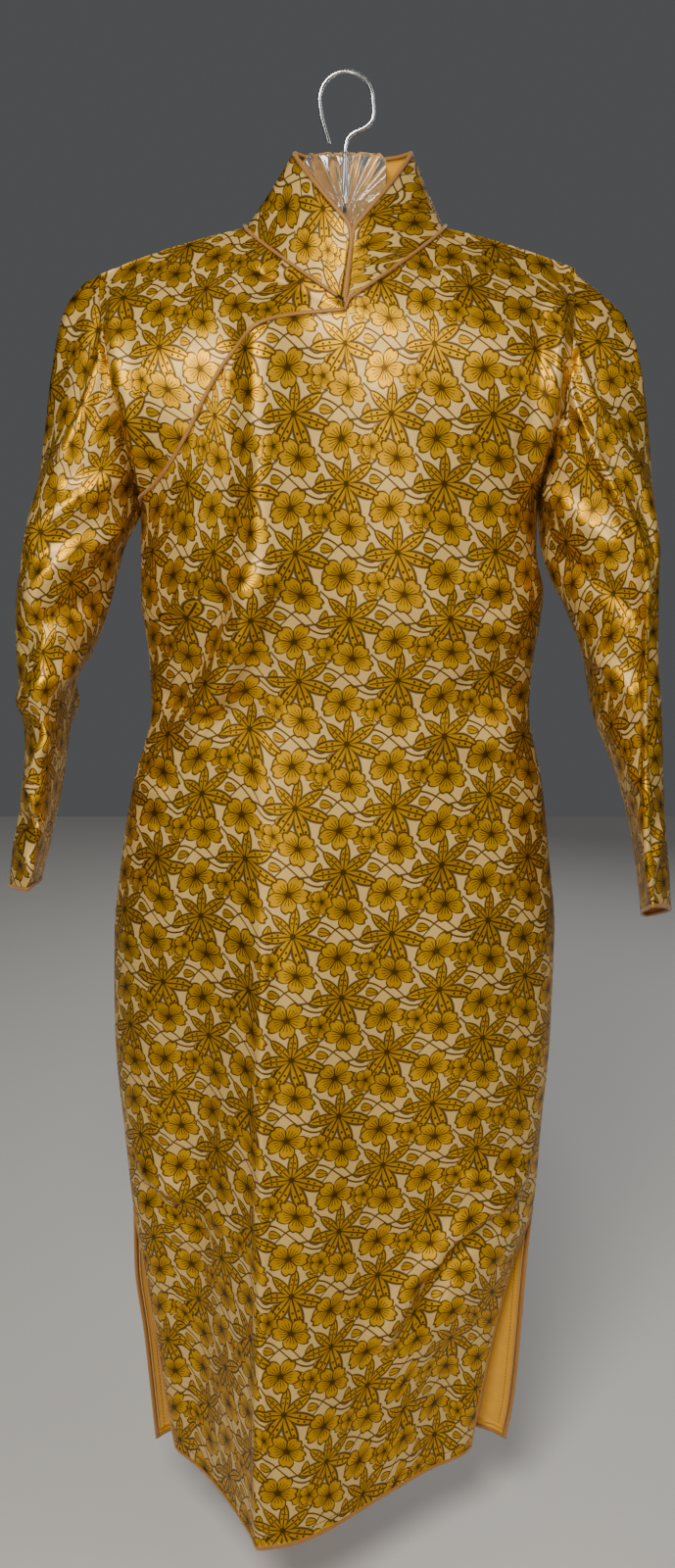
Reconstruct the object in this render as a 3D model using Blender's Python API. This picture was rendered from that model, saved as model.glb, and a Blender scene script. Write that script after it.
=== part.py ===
"""A cheongsam on a clear hanger. Metres, +Z up, front towards -Y, hook's inner top at the origin.

Left and right are as seen from the front. Each cut piece is its own closed solid.
"""
import math

import bmesh
import bpy
import numpy as np

WALL = 0.0012
COLLAR_WALL = 0.0015
SEAM = 0.0003
UNDERLAP_DEPTH = 0.0026
LINING_DEPTH = 0.0027
LINING_SHARE = 0.955
LINING_TOP = -0.880
LINING_BOTTOM = -1.146

NECK_MIDDLE = 0.0
NECK_HALF_WIDTH = 0.076
SHOULDER_NECK_LEVEL = -0.1085
SHOULDER_FALL = 0.20
SHOULDER_CURVE = 0.90
SHOULDER_ROLL = 0.10
BACK_ROLL = 0.062
NECK_FRONT_DROP = 0.0625
NECK_BACK_DROP = 0.008
UNDERARM_LEVEL = -0.315
SLIT_LEVEL = -0.916
HEM_LEVEL = -1.157
SLIT_STEP = 0.006
ARMHOLE_HEIGHT = 0.173
CHEST_DIP = 0.105
OPENING_SETBACK = 0.0028
OPENING_NECK_LEVEL = -0.175
BINDING_WIDTH = 0.0044
BINDING_THICKNESS = 0.0024
PIPING_WIDTH = 0.0032
PIPING_THICKNESS = 0.0026
NECK_PIPING = 0.0026
NECK_PIPING_START = 0.0070
OPENING_PIPING_STOP = 0.0045
OPENING_PIPING_LIFT = 0.0002
FRONT_BOW = 0.046
BACK_BOW = 0.040

# Rows of each panel from its top to the chest line, on to the slit's top, and on to the hem.
FRONT_ROWS = (8, 13, 8)
BACK_ROWS = (7, 12, 7)
UNDERLAP_ROWS = 8
UNDERLAP_LAP = 0.010
SLEEVE_RINGS = 13

SECTION_COLUMNS = ("level", "front_left", "front_right", "back_left", "back_right",
                   "front_reach", "back_reach", "fullness")
SECTIONS = (
    (-0.090, -0.190, 0.182, -0.190, 0.182, 0.062, 0.048, 3.0),
    (-0.142, -0.188, 0.176, -0.188, 0.176, 0.063, 0.052, 3.0),
    (-0.220, -0.178, 0.168, -0.178, 0.168, 0.072, 0.056, 3.0),
    (-0.315, -0.162, 0.1535, -0.162, 0.1535, 0.076, 0.052, 2.8),
    (-0.350, -0.1625, 0.1530, -0.1625, 0.1530, 0.077, 0.050, 2.6),
    (-0.385, -0.1636, 0.1600, -0.1636, 0.1600, 0.077, 0.048, 2.4),
    (-0.440, -0.158, 0.1533, -0.158, 0.1533, 0.064, 0.040, 2.2),
    (-0.475, -0.1572, 0.151, -0.1572, 0.151, 0.058, 0.036, 2.1),
    (-0.541, -0.1744, 0.1634, -0.1744, 0.1634, 0.064, 0.042, 2.1),
    (-0.600, -0.1852, 0.171, -0.1852, 0.171, 0.072, 0.052, 2.1),
    (-0.672, -0.1942, 0.178, -0.1942, 0.178, 0.078, 0.058, 2.1),
    (-0.765, -0.1964, 0.177, -0.1964, 0.177, 0.074, 0.056, 2.0),
    (-0.846, -0.1914, 0.1718, -0.1914, 0.1718, 0.068, 0.052, 2.0),
    (-0.916, -0.1862, 0.168, -0.1862, 0.168, 0.062, 0.048, 2.0),
    (-0.978, -0.178, 0.1500, -0.1868, 0.1635, 0.055, 0.045, 2.0),
    (-1.046, -0.1685, 0.1346, -0.1805, 0.160, 0.048, 0.042, 2.0),
    (-1.113, -0.160, 0.1231, -0.1757, 0.1555, 0.042, 0.040, 2.0),
    (-1.157, -0.1535, 0.1163, -0.1727, 0.149, 0.039, 0.039, 2.0),
)

RIDGE_COLUMNS = ("level", "across", "height", "left_width", "right_width")
RIDGE = (
    (-0.180, -0.060, 0.000, 0.045, 0.080),
    (-0.300, -0.060, 0.006, 0.045, 0.080),
    (-0.400, -0.063, 0.010, 0.045, 0.080),
    (-0.480, -0.064, 0.007, 0.045, 0.080),
    (-0.600, -0.066, 0.012, 0.055, 0.100),
    (-0.750, -0.068, 0.024, 0.070, 0.130),
    (-0.916, -0.070, 0.046, 0.078, 0.160),
    (-1.046, -0.071, 0.070, 0.077, 0.172),
    (-1.157, -0.0715, 0.088, 0.075, 0.175),
)

OPENING_COLUMNS = ("across", "level")
OPENING = (
    (-0.1625, -0.3160),
    (-0.1480, -0.3035),
    (-0.1331, -0.2885),
    (-0.1150, -0.2620),
    (-0.0985, -0.2310),
    (-0.0850, -0.2105),
    (-0.0691, -0.1945),
    (-0.0500, -0.1840),
    (-0.0300, -0.1780),
    (0.0000, -0.1748),
)

FOLD_FADE = 0.75
FOLD_COLUMNS = ("start_across", "start_level", "end_across", "end_level", "height", "half_width")
FRONT_FOLDS = (
    (-0.060, -0.365, -0.112, -0.500, 0.007, 0.022),
    (0.120, -0.385, 0.050, -0.385, 0.004, 0.020),
    (-0.120, -0.470, -0.050, -0.480, -0.004, 0.016),
    (0.125, -0.470, 0.050, -0.485, -0.004, 0.016),
    (0.140, -0.930, 0.035, -1.050, 0.010, 0.030),
    (-0.165, -0.905, -0.100, -0.935, 0.005, 0.018),
    (0.110, -1.020, 0.085, -1.150, -0.006, 0.024),
)
BACK_FOLDS = (
    (-0.060, -0.180, -0.085, -0.420, 0.006, 0.030),
    (0.065, -0.200, 0.080, -0.430, 0.005, 0.028),
    (-0.110, -0.470, -0.030, -0.485, -0.005, 0.018),
    (0.105, -0.468, 0.035, -0.480, -0.005, 0.018),
    (0.055, -0.640, 0.050, -1.150, 0.012, 0.040),
    (-0.080, -0.700, -0.095, -1.150, 0.010, 0.036),
)

SLEEVE_COLUMNS = ("level", "outer", "inner", "front_across", "front_reach", "back_across",
                  "back_reach", "pinch")
SLEEVE_LEFT = (
    (-0.141, -0.1880, -0.184, -0.195, -0.030, -0.192, 0.028, 1.0),
    (-0.150, -0.2033, -0.182, -0.198, -0.038, -0.195, 0.034, 1.0),
    (-0.172, -0.2189, -0.180, -0.203, -0.046, -0.199, 0.040, 1.0),
    (-0.2165, -0.2287, -0.174, -0.211, -0.054, -0.204, 0.043, 1.0),
    (-0.266, -0.2354, -0.169, -0.219, -0.060, -0.208, 0.045, 1.0),
    (-0.3136, -0.2437, -0.167, -0.225, -0.062, -0.211, 0.046, 1.0),
    (-0.350, -0.2510, -0.1804, -0.229, -0.062, -0.216, 0.046, 1.05),
    (-0.395, -0.2600, -0.1895, -0.232, -0.062, -0.222, 0.045, 1.1),
    (-0.431, -0.2616, -0.2029, -0.233, -0.062, -0.228, 0.044, 1.2),
    (-0.4566, -0.2608, -0.2190, -0.234, -0.062, -0.232, 0.043, 1.3),
    (-0.500, -0.2585, -0.2265, -0.235, -0.060, -0.237, 0.041, 1.4),
    (-0.550, -0.2640, -0.2359, -0.240, -0.060, -0.244, 0.039, 1.4),
    (-0.594, -0.2730, -0.2464, -0.248, -0.060, -0.255, 0.037, 1.4),
    (-0.636, -0.2780, -0.2580, -0.257, -0.060, -0.266, 0.035, 1.4),
)
SLEEVE_RIGHT = (
    (-0.141, 0.1760, 0.170, 0.182, -0.030, 0.180, 0.028, 1.0),
    (-0.154, 0.1932, 0.168, 0.186, -0.038, 0.184, 0.034, 1.0),
    (-0.174, 0.2151, 0.167, 0.194, -0.046, 0.189, 0.040, 1.0),
    (-0.203, 0.2270, 0.165, 0.203, -0.052, 0.195, 0.043, 1.0),
    (-0.256, 0.2363, 0.161, 0.214, -0.058, 0.200, 0.045, 1.0),
    (-0.3136, 0.2420, 0.1580, 0.222, -0.062, 0.204, 0.046, 1.0),
    (-0.345, 0.2432, 0.1595, 0.226, -0.062, 0.207, 0.046, 1.0),
    (-0.372, 0.2445, 0.1670, 0.227, -0.062, 0.211, 0.046, 1.05),
    (-0.3955, 0.2463, 0.178, 0.2278, -0.062, 0.216, 0.045, 1.1),
    (-0.436, 0.2495, 0.1925, 0.229, -0.062, 0.225, 0.044, 1.2),
    (-0.480, 0.2552, 0.2015, 0.231, -0.063, 0.233, 0.043, 1.3),
    (-0.530, 0.2588, 0.2222, 0.2338, -0.065, 0.243, 0.041, 1.4),
    (-0.565, 0.2615, 0.2333, 0.236, -0.067, 0.249, 0.039, 1.4),
    (-0.610, 0.2665, 0.2430, 0.2415, -0.070, 0.256, 0.036, 1.4),
    (-0.660, 0.2705, 0.2505, 0.249, -0.070, 0.262, 0.034, 1.4),
)
SLEEVES = {
    "left": {"rows": SLEEVE_LEFT, "side": -1.0, "cuff_level": -0.624, "cuff_tilt": 0.008},
    "right": {"rows": SLEEVE_RIGHT, "side": 1.0, "cuff_level": -0.646, "cuff_tilt": 0.020},
}

COLLAR_FRONT_RISE = 0.052
COLLAR_BACK_RISE = 0.060
COLLAR_TOP_MIDDLE = 0.006
COLLAR_TOP_SHARE = 0.60
COLLAR_CORNER = 0.010

HOOK_WIRE = 0.0015
HOOK_CENTRE = (0.0008, -0.0185)
HOOK_RADIUS = 0.0200
SHANK_BOTTOM = -0.098
ARM_RADIUS = 0.0060
ARM_DROP = 0.0124
ARM_END = 0.188
ARM_TIP_DROP = 0.006
PLATE_TOP = -0.055
PLATE_HALF_WIDTH = 0.0315
PLATE_HALF_THICKNESS = 0.0040
PLATE_BOTTOM = -0.128
PLATE_REACH = 0.080
PLATE_EDGE_SHARE = 0.7
SOCKET_HALF_WIDTH = 0.0020
SOCKET_BOTTOM = -0.1012
SOCKET_DEPTH_PLACE = -0.0023
PLATE_LEVELS = (-0.1015, -0.1010, -0.085, -0.070)
ARM_SHARES = (0.0, 0.12, 0.30, 0.50, 0.70, 0.88, 1.0)
HANGER_STATIONS = (0.0, 0.0019, 0.0021, 0.010, 0.018, 0.026, PLATE_HALF_WIDTH, 0.0325, 0.045, 0.060,
                   0.075, 0.095, 0.115, 0.135, 0.155, 0.168, 0.177, 0.184, ARM_END)
ARM_TIP_START = 0.145
ARM_TIP_LENGTH = 0.040
ARM_TAPER_LENGTH = 0.0125


def column(rows, names, name):
    place = names.index(name)
    return [row[place] for row in rows]


def eased(levels, values, at):
    """Smooth curve through a short table, without overshoot."""
    order = np.argsort(levels)
    x = np.asarray(levels, float)[order]
    y = np.asarray(values, float)[order]
    step = np.diff(x)
    rise = np.diff(y) / step
    slope = np.empty(len(x))
    slope[0], slope[-1] = rise[0], rise[-1]
    product = rise[:-1] * rise[1:]
    total = np.where(product > 0, rise[:-1] + rise[1:], 1.0)
    slope[1:-1] = np.where(product > 0, 2 * product / total, 0.0)
    at = np.clip(at, x[0], x[-1])
    k = np.clip(np.searchsorted(x, at) - 1, 0, len(x) - 2)
    t = (at - x[k]) / step[k]
    start = (1 + 2 * t) * (1 - t) ** 2 * y[k] + t * (1 - t) ** 2 * step[k] * slope[k]
    end = t ** 2 * (3 - 2 * t) * y[k + 1] - t ** 2 * (1 - t) * step[k] * slope[k + 1]
    return start + end


def section(name, level):
    return eased(column(SECTIONS, SECTION_COLUMNS, "level"),
                 column(SECTIONS, SECTION_COLUMNS, name), level)


def ridge(name, level):
    return eased(column(RIDGE, RIDGE_COLUMNS, "level"), column(RIDGE, RIDGE_COLUMNS, name), level)


def smooth_step(value):
    value = np.clip(value, 0.0, 1.0)
    return value * value * (3 - 2 * value)


def across(face, share, level):
    """How far across the body a share of the panel lies: -1 and 1 are the side seams."""
    left = section(face + "_left", level)
    right = section(face + "_right", level)
    bend = 0.8 * np.sin(np.pi * share / 2) + 0.2 * share
    return (left + right) / 2 + (right - left) / 2 * bend


def shoulder_level(x):
    out = np.abs(x - NECK_MIDDLE) - NECK_HALF_WIDTH
    curve = np.where(out > 0, SHOULDER_CURVE * out * out, 0.0)
    return SHOULDER_NECK_LEVEL - SHOULDER_FALL * out - curve


def armhole_bow(level):
    climb = np.clip((level - UNDERARM_LEVEL) / ARMHOLE_HEIGHT, 0.0, 1.0)
    return np.sin(np.pi * climb)


def fold_height(folds, x, level):
    """Soft ridges, or troughs where the height is negative, along short straight lines."""
    total = np.zeros(np.broadcast(x, level).shape)
    for row in folds:
        fold = dict(zip(FOLD_COLUMNS, row))
        start = np.array([fold["start_across"], fold["start_level"]])
        along = np.array([fold["end_across"], fold["end_level"]]) - start
        length = np.hypot(*along)
        along = along / length
        run = ((x - start[0]) * along[0] + (level - start[1]) * along[1]) / length
        off = (x - start[0]) * along[1] - (level - start[1]) * along[0]
        fade = smooth_step(1.0 - np.abs(run - 0.5) / FOLD_FADE)
        total = total + fold["height"] * fade * np.exp(-(off / fold["half_width"]) ** 2)
    return total


def ridge_height(x, level):
    off = x - ridge("across", level)
    left = np.clip(1 + off / ridge("left_width", level), 0, 1) ** 1.6
    right = np.cos(np.pi / 2 * np.clip(off / ridge("right_width", level), 0, 1)) ** 2
    return ridge("height", level) * np.where(off < 0, left, right)


def front_point(share, level):
    x = across("front", share, level)
    side = np.abs(share) ** section("fullness", level)
    drop = np.clip((shoulder_level(x) - level) / SHOULDER_ROLL, 0, 1)
    roll = 1 - (1 - drop) ** 2
    reach = section("front_reach", level) * (1 - side) * roll
    bow = FRONT_BOW * armhole_bow(level) * side
    calm = 1 - np.abs(share) ** 4
    folds = ridge_height(x, level) + fold_height(FRONT_FOLDS, x, level) * roll
    slit = smooth_step((SLIT_LEVEL - level) / 0.24)
    y = -(SEAM / 2 + reach + bow + calm * folds + 0.008 * slit)
    return np.stack([x, y, level + np.zeros_like(x)], axis=-1)


def back_point(share, level):
    x = across("back", share, level)
    side = np.abs(share) ** section("fullness", level)
    drop = np.clip((shoulder_level(x) - level) / BACK_ROLL, 0, 1)
    roll = 1 - (1 - drop) ** 2
    reach = section("back_reach", level) * (1 - side) * roll
    bow = BACK_BOW * armhole_bow(level) * side
    calm = 1 - np.abs(share) ** 4
    y = SEAM / 2 + reach + bow + calm * roll * fold_height(BACK_FOLDS, x, level)
    return np.stack([x, y, level + np.zeros_like(x)], axis=-1)


def neck_share(x):
    return np.clip(np.abs(x - NECK_MIDDLE) / NECK_HALF_WIDTH, 0, 1)


def front_neck_level(x):
    return SHOULDER_NECK_LEVEL - NECK_FRONT_DROP * (1 - neck_share(x)) ** 0.85


def back_neck_level(x):
    return SHOULDER_NECK_LEVEL - NECK_BACK_DROP * (1 - neck_share(x) ** 2)


def opening_level(x):
    return eased(column(OPENING, OPENING_COLUMNS, "across"),
                 column(OPENING, OPENING_COLUMNS, "level"), x)


def top_of_front(x):
    inside = np.where(x < NECK_MIDDLE, opening_level(x) - OPENING_SETBACK, front_neck_level(x))
    return np.where(x > NECK_HALF_WIDTH, shoulder_level(x), inside)


def top_of_underlap(x):
    return np.where(x < -NECK_HALF_WIDTH, shoulder_level(x), front_neck_level(x))


def top_of_back(x):
    return np.where(np.abs(x) > NECK_HALF_WIDTH, shoulder_level(x), back_neck_level(x))


def share_at(face, x, level):
    """The share whose place across the panel is x at this level."""
    shares = np.linspace(-1, 1, 801)
    return float(np.interp(x, across(face, shares, np.full(801, level)), shares))


def meet(face, shares, top):
    """Levels where the upright lines of a panel meet its top edge."""
    level = np.full(len(shares), -0.2)
    for _ in range(40):
        level = top(across(face, shares, level))
    return level


def spread(*knots):
    """Steps between knots: value, count, value, count, value and so on."""
    out = [knots[0]]
    for start, count, end in zip(knots[0::2], knots[1::2], knots[2::2]):
        out.extend(start + (end - start) * k / count for k in range(1, count + 1))
    return np.array(out)


def edge_share(surface, level, side):
    """The share that lies a binding's width short of the panel's edge."""
    shares = side * np.linspace(1.0, 0.7, 31)
    line = surface(shares, np.full(31, level))
    lengths = np.concatenate([[0], np.cumsum(np.linalg.norm(np.diff(line, axis=0), axis=1))])
    return float(np.interp(BINDING_WIDTH + 3 * SEAM, lengths, np.abs(shares)))


def slit_trim(surface, levels, shares):
    """Below the slit's top a panel stops short of its edge to leave room for the binding."""
    trimmed = np.broadcast_to(shares, levels.shape).copy()
    for row in range(len(levels)):
        level = levels[row, 0]
        if level < SLIT_LEVEL - 0.001:
            left = edge_share(surface, level, -1.0)
            right = edge_share(surface, level, 1.0)
            trimmed[row] = np.where(shares < 0, shares * left, shares * right)
    return trimmed


def panel_levels(tops, shares, chest_levels, counts):
    """Row levels for every column: three blocks, split at the chest line and the slit's top."""
    chest_count, body_count, skirt_count = counts
    hem = HEM_LEVEL + BINDING_WIDTH + SEAM
    rows = [tops + (chest_levels - tops) * k / chest_count for k in range(chest_count)]
    for k in range(body_count):
        rows.append(chest_levels + (SLIT_LEVEL - chest_levels) * k / body_count)
    rows.append(np.full(len(shares), SLIT_LEVEL))
    below = SLIT_LEVEL - SLIT_STEP
    for k in range(skirt_count + 1):
        rows.append(np.full(len(shares), below + (hem - below) * k / skirt_count))
    return np.array(rows)


def unit(vectors):
    return vectors / np.maximum(np.linalg.norm(vectors, axis=-1, keepdims=True), 1e-12)


def grid_steps(grid, closed):
    down = np.gradient(grid, axis=0)
    if closed:
        side = (np.roll(grid, -1, axis=1) - np.roll(grid, 1, axis=1)) / 2
    else:
        side = np.gradient(grid, axis=1)
    return down, side


def grid_normals(grid, facing, closed=False):
    down, side = grid_steps(grid, closed)
    return facing * unit(np.cross(side, down))


def add_material(name, colour, metallic=0.0, roughness=0.5, transmission=0.0):
    material = bpy.data.materials.new(name)
    material.use_nodes = True
    shader = material.node_tree.nodes["Principled BSDF"]
    shader.inputs["Base Color"].default_value = (*colour, 1.0)
    shader.inputs["Metallic"].default_value = metallic
    shader.inputs["Roughness"].default_value = roughness
    shader.inputs["Transmission Weight"].default_value = transmission
    return material


def add_solid(name, points, faces, material):
    mesh = bpy.data.meshes.new(name)
    mesh.from_pydata([tuple(map(float, p)) for p in points], [], faces)
    shape = bmesh.new()
    shape.from_mesh(mesh)
    bmesh.ops.recalc_face_normals(shape, faces=shape.faces)
    shape.to_mesh(mesh)
    shape.free()
    mesh.materials.append(material)
    piece = bpy.data.objects.new(name, mesh)
    bpy.context.scene.collection.objects.link(piece)
    return piece


def shell_faces(rows, columns, closed):
    """Faces of a sheet with two sides: the outer grid first, then the inner grid."""
    inner = rows * columns
    span = columns if closed else columns - 1

    def at(r, c):
        return r * columns + c % columns

    faces = []
    for r in range(rows - 1):
        for c in range(span):
            a, b, d, e = at(r, c), at(r, c + 1), at(r + 1, c + 1), at(r + 1, c)
            for half in ((a, b, d), (a, d, e)):
                faces.append(half)
                faces.append(tuple(inner + k for k in reversed(half)))
    for c in range(span):
        for r, flip in ((0, False), (rows - 1, True)):
            edge = (at(r, c + 1), at(r, c), inner + at(r, c), inner + at(r, c + 1))
            faces.append(tuple(reversed(edge)) if flip else edge)
    if not closed:
        for r in range(rows - 1):
            for c, flip in ((0, True), (columns - 1, False)):
                edge = (at(r + 1, c), at(r, c), inner + at(r, c), inner + at(r + 1, c))
                faces.append(tuple(reversed(edge)) if flip else edge)
    return faces


def add_shell(name, outer, inner, material, closed=False):
    rows, columns = outer.shape[:2]
    points = np.concatenate([outer.reshape(-1, 3), inner.reshape(-1, 3)])
    return add_solid(name, points, shell_faces(rows, columns, closed), material)


def add_cord(name, path, wide, deep, widths, material, closed=False, sides=6):
    """A cord with an oval section swept along a path; wide and deep are unit directions."""
    angles = 2 * np.pi * (np.arange(sides) + 0.5) / sides
    half_width, half_depth = widths[0] / 2, widths[1] / 2
    ring = (np.cos(angles)[None, :, None] * half_width * wide[:, None, :]
            + np.sin(angles)[None, :, None] * half_depth * deep[:, None, :])
    points = (path[:, None, :] + ring).reshape(-1, 3)
    count = len(path)
    faces = []
    for k in range(count if closed else count - 1):
        here, ahead = k * sides, (k + 1) % count * sides
        for a in range(sides):
            b = (a + 1) % sides
            faces.append((here + a, here + b, ahead + b, ahead + a))
    if not closed:
        faces.append(tuple(reversed(range(sides))))
        faces.append(tuple((count - 1) * sides + a for a in range(sides)))
    return add_solid(name, points, faces, material)


def square_up(path, deep, closed=False):
    """Directions across a cord, square to its run and to the depth direction."""
    if closed:
        run = np.roll(path, -1, axis=0) - np.roll(path, 1, axis=0)
    else:
        run = np.gradient(path, axis=0)
    wide = unit(np.cross(unit(run), deep))
    return wide, unit(np.cross(wide, unit(run)))


def front_grid():
    neck = share_at("front", NECK_HALF_WIDTH, SHOULDER_NECK_LEVEL)
    middle = share_at("front", NECK_MIDDLE, OPENING_NECK_LEVEL)
    shares = spread(-1, 12, middle, 4, neck, 6, 1)
    tops = meet("front", shares, top_of_front)
    chest = UNDERARM_LEVEL - CHEST_DIP * smooth_step((1 - shares) / 2)
    levels = panel_levels(tops, shares, chest, FRONT_ROWS)
    return front_point(slit_trim(front_point, levels, shares), levels)


def back_grid():
    neck_right = share_at("back", NECK_HALF_WIDTH, SHOULDER_NECK_LEVEL)
    neck_left = share_at("back", -NECK_HALF_WIDTH, SHOULDER_NECK_LEVEL)
    shares = spread(-1, 6, neck_left, 8, neck_right, 6, 1)
    tops = meet("back", shares, top_of_back)
    chest = np.full(len(shares), UNDERARM_LEVEL)
    levels = panel_levels(tops, shares, chest, BACK_ROWS)
    return back_point(slit_trim(back_point, levels, shares), levels)


def underlap_grid():
    """The under front: its last two rows run on under the main front."""
    neck = share_at("front", -NECK_HALF_WIDTH, SHOULDER_NECK_LEVEL)
    middle = share_at("front", NECK_MIDDLE, OPENING_NECK_LEVEL)
    shares = spread(-1, 6, neck, 5, middle)
    tops = meet("front", shares, top_of_underlap)
    curve = meet("front", shares, opening_level)
    inside = 1 + np.clip(shares, -1, 0)
    seam = np.where(shares > -1, curve - UNDERLAP_LAP * inside, UNDERARM_LEVEL)
    rows = [tops + (seam - tops) * k / UNDERLAP_ROWS for k in range(UNDERLAP_ROWS)]
    rows.extend([seam, seam - UNDERLAP_LAP, seam - 2 * UNDERLAP_LAP])
    levels = np.array(rows)
    grid = front_point(np.broadcast_to(shares, levels.shape), levels)
    return keep_front(grid - grid_normals(grid, -1) * UNDERLAP_DEPTH)


def keep_front(points):
    points = points.copy()
    points[..., 1] = np.minimum(points[..., 1], -SEAM / 2)
    return points


def keep_back(points):
    points = points.copy()
    points[..., 1] = np.maximum(points[..., 1], SEAM / 2)
    return points


def armhole_loop(front_edge, back_edge, side):
    """One loop round the armhole: shoulder, down the front, underarm, up the back."""
    shoulder = back_edge[0] * (1, 0, 1)
    under = back_edge[-1] * (1, 0, 1)
    loop = np.vstack([shoulder[None], front_edge[1:-1], under[None], back_edge[-2:0:-1]])
    loop[:, 0] += side * SEAM
    return loop, len(front_edge) - 1, len(back_edge) - 1


def sleeve_value(rows, name, level):
    return eased(column(rows, SLEEVE_COLUMNS, "level"), column(rows, SLEEVE_COLUMNS, name), level)


def sleeve_section(rows, turn, level):
    """A point of the hanging sleeve: turn 0 is outside, a quarter is the front crease."""
    outer = sleeve_value(rows, "outer", level)
    inner = sleeve_value(rows, "inner", level)
    front_x = sleeve_value(rows, "front_across", level)
    back_x = sleeve_value(rows, "back_across", level)
    front_y = sleeve_value(rows, "front_reach", level)
    back_y = sleeve_value(rows, "back_reach", level)
    pinch = sleeve_value(rows, "pinch", level)
    middle_x = (outer + inner) / 2
    middle_y = (front_y + back_y) / 2
    swing = np.cos(turn)
    out = np.abs(swing) ** pinch * np.sign(swing)
    ahead = np.clip(np.sin(turn), 0, 1)
    behind = np.clip(-np.sin(turn), 0, 1)
    x = (middle_x + (outer - middle_x) * out
         + (front_x - middle_x) * ahead ** 2 + (back_x - middle_x) * behind ** 2)
    y = middle_y + (front_y - middle_y) * ahead + (back_y - middle_y) * behind
    return np.stack([x, y, level], axis=-1)


def sleeve_grid(which, loop, front_steps, back_steps):
    plan = SLEEVES[which]
    turn = np.concatenate([np.pi * np.arange(front_steps) / front_steps,
                           np.pi + np.pi * np.arange(back_steps) / back_steps])
    start = loop[:, 2]
    end = plan["cuff_level"] + plan["cuff_tilt"] * np.sin(turn) + PIPING_WIDTH
    miss = loop - sleeve_section(plan["rows"], turn, start)
    grid = []
    for ring in range(SLEEVE_RINGS + 1):
        share = (ring / SLEEVE_RINGS) ** 1.5
        level = start + (end - start) * share
        fade = 1 - smooth_step(share / 0.40)
        grid.append(sleeve_section(plan["rows"], turn, level) + miss * fade)
    return np.array(grid)


def add_sleeve(which, loop, front_steps, back_steps, material, trim):
    side = SLEEVES[which]["side"]
    grid = sleeve_grid(which, loop, front_steps, back_steps)
    normals = grid_normals(grid, 1, closed=True)
    middle = grid.mean(axis=1, keepdims=True)
    if np.sum(normals * (grid - middle)) < 0:
        normals = -normals
    inner = grid - normals * WALL
    limit = grid[0, :, 0] * side
    inner[0, :, 0] = side * np.maximum(inner[0, :, 0] * side, limit)
    add_shell("sleeve_" + which, grid, inner, material, closed=True)
    run_off = unit(grid[-1] - grid[-2])
    path = grid[-1] + run_off * (PIPING_WIDTH / 2 + SEAM) - normals[-1] * WALL / 2
    wide, deep = square_up(path, normals[-1], closed=True)
    add_cord("cuff_piping_" + which, path, wide, deep, (PIPING_WIDTH, PIPING_THICKNESS), trim,
             closed=True)


def collar_base(underlap, front, back):
    """The neck seam from the centre front, round the left, the back and the right."""
    inside = NECK_HALF_WIDTH - 0.002
    left = [k for k, x in enumerate(underlap[0, :, 0]) if x > -inside]
    behind = [k for k, x in enumerate(back[0, :, 0]) if abs(x) < NECK_HALF_WIDTH + 0.002]
    right = [k for k, x in enumerate(front[0, :, 0]) if NECK_MIDDLE - 0.001 < x < inside]
    return left[::-1], behind, right[::-1]


def trim_ends(path, start, end):
    """Shorten a path at both of its ends by the given lengths."""
    lengths = np.concatenate([[0], np.cumsum(np.linalg.norm(np.diff(path, axis=0), axis=1))])
    total = lengths[-1]
    kept = [k for k in range(len(path)) if start < lengths[k] < total - end]
    ends = [np.array([np.interp(at, lengths, path[:, axis]) for axis in range(3)])
            for at in (start, total - end)]
    return np.vstack([ends[0][None], path[kept], ends[1][None]])


def collar_grid(base):
    """Rows climb from the neck seam to the top edge; the front corners are rounded."""
    lengths = np.concatenate([[0], np.cumsum(np.linalg.norm(np.diff(base, axis=0), axis=1))])
    total = lengths[-1]
    behind = smooth_step(np.clip(base[:, 1] / 0.034, 0, 1))
    rise = COLLAR_FRONT_RISE + (COLLAR_BACK_RISE - COLLAR_FRONT_RISE) * behind
    near = np.minimum(lengths, total - lengths) / COLLAR_CORNER
    corner = 1 - np.sqrt(np.clip(1 - np.clip(1 - near, 0, 1) ** 2, 0, 1))
    rise_here = rise - COLLAR_CORNER * corner
    top_x = COLLAR_TOP_MIDDLE + base[:, 0] * COLLAR_TOP_SHARE
    top_y = np.where(base[:, 1] < 0, base[:, 1] * 0.70, base[:, 1] * 0.95)
    rows = []
    for share in (0.0, 0.25, 0.5, 0.75, 1.0):
        climb = share * rise_here / rise
        lean = climb ** 0.9
        x = base[:, 0] + (top_x - base[:, 0]) * lean
        y = base[:, 1] + (top_y - base[:, 1]) * lean
        rows.append(np.stack([x, y, base[:, 2] + SEAM + climb * rise], axis=-1))
    return np.array(rows)


def add_collar(base, cloth, trim):
    gap = PIPING_WIDTH + SEAM
    grid = collar_grid(trim_ends(base, gap, gap))
    normals = outward(grid)
    add_shell("collar", grid, grid - normals * COLLAR_WALL, cloth)
    path = np.vstack([grid[1:-1, 0], grid[-1], grid[-2:0:-1, -1]])
    deep = np.vstack([normals[1:-1, 0], normals[-1], normals[-2:0:-1, -1]])
    wide, deep = square_up(path, deep)
    middle = grid[1:-1].reshape(-1, 3).mean(axis=0)
    if np.sum(wide[len(wide) // 2] * (path[len(path) // 2] - middle)) < 0:
        wide = -wide
    path = path + wide * (PIPING_WIDTH / 2 + SEAM) - deep * COLLAR_WALL / 2
    add_cord("collar_piping", path, wide, deep, (PIPING_WIDTH, PIPING_THICKNESS), trim)


def outward(grid):
    normals = grid_normals(grid, 1)
    middle = np.array([0.0, 0.0, -0.11])
    return normals if np.sum(normals * (grid - middle)) > 0 else -normals


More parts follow.
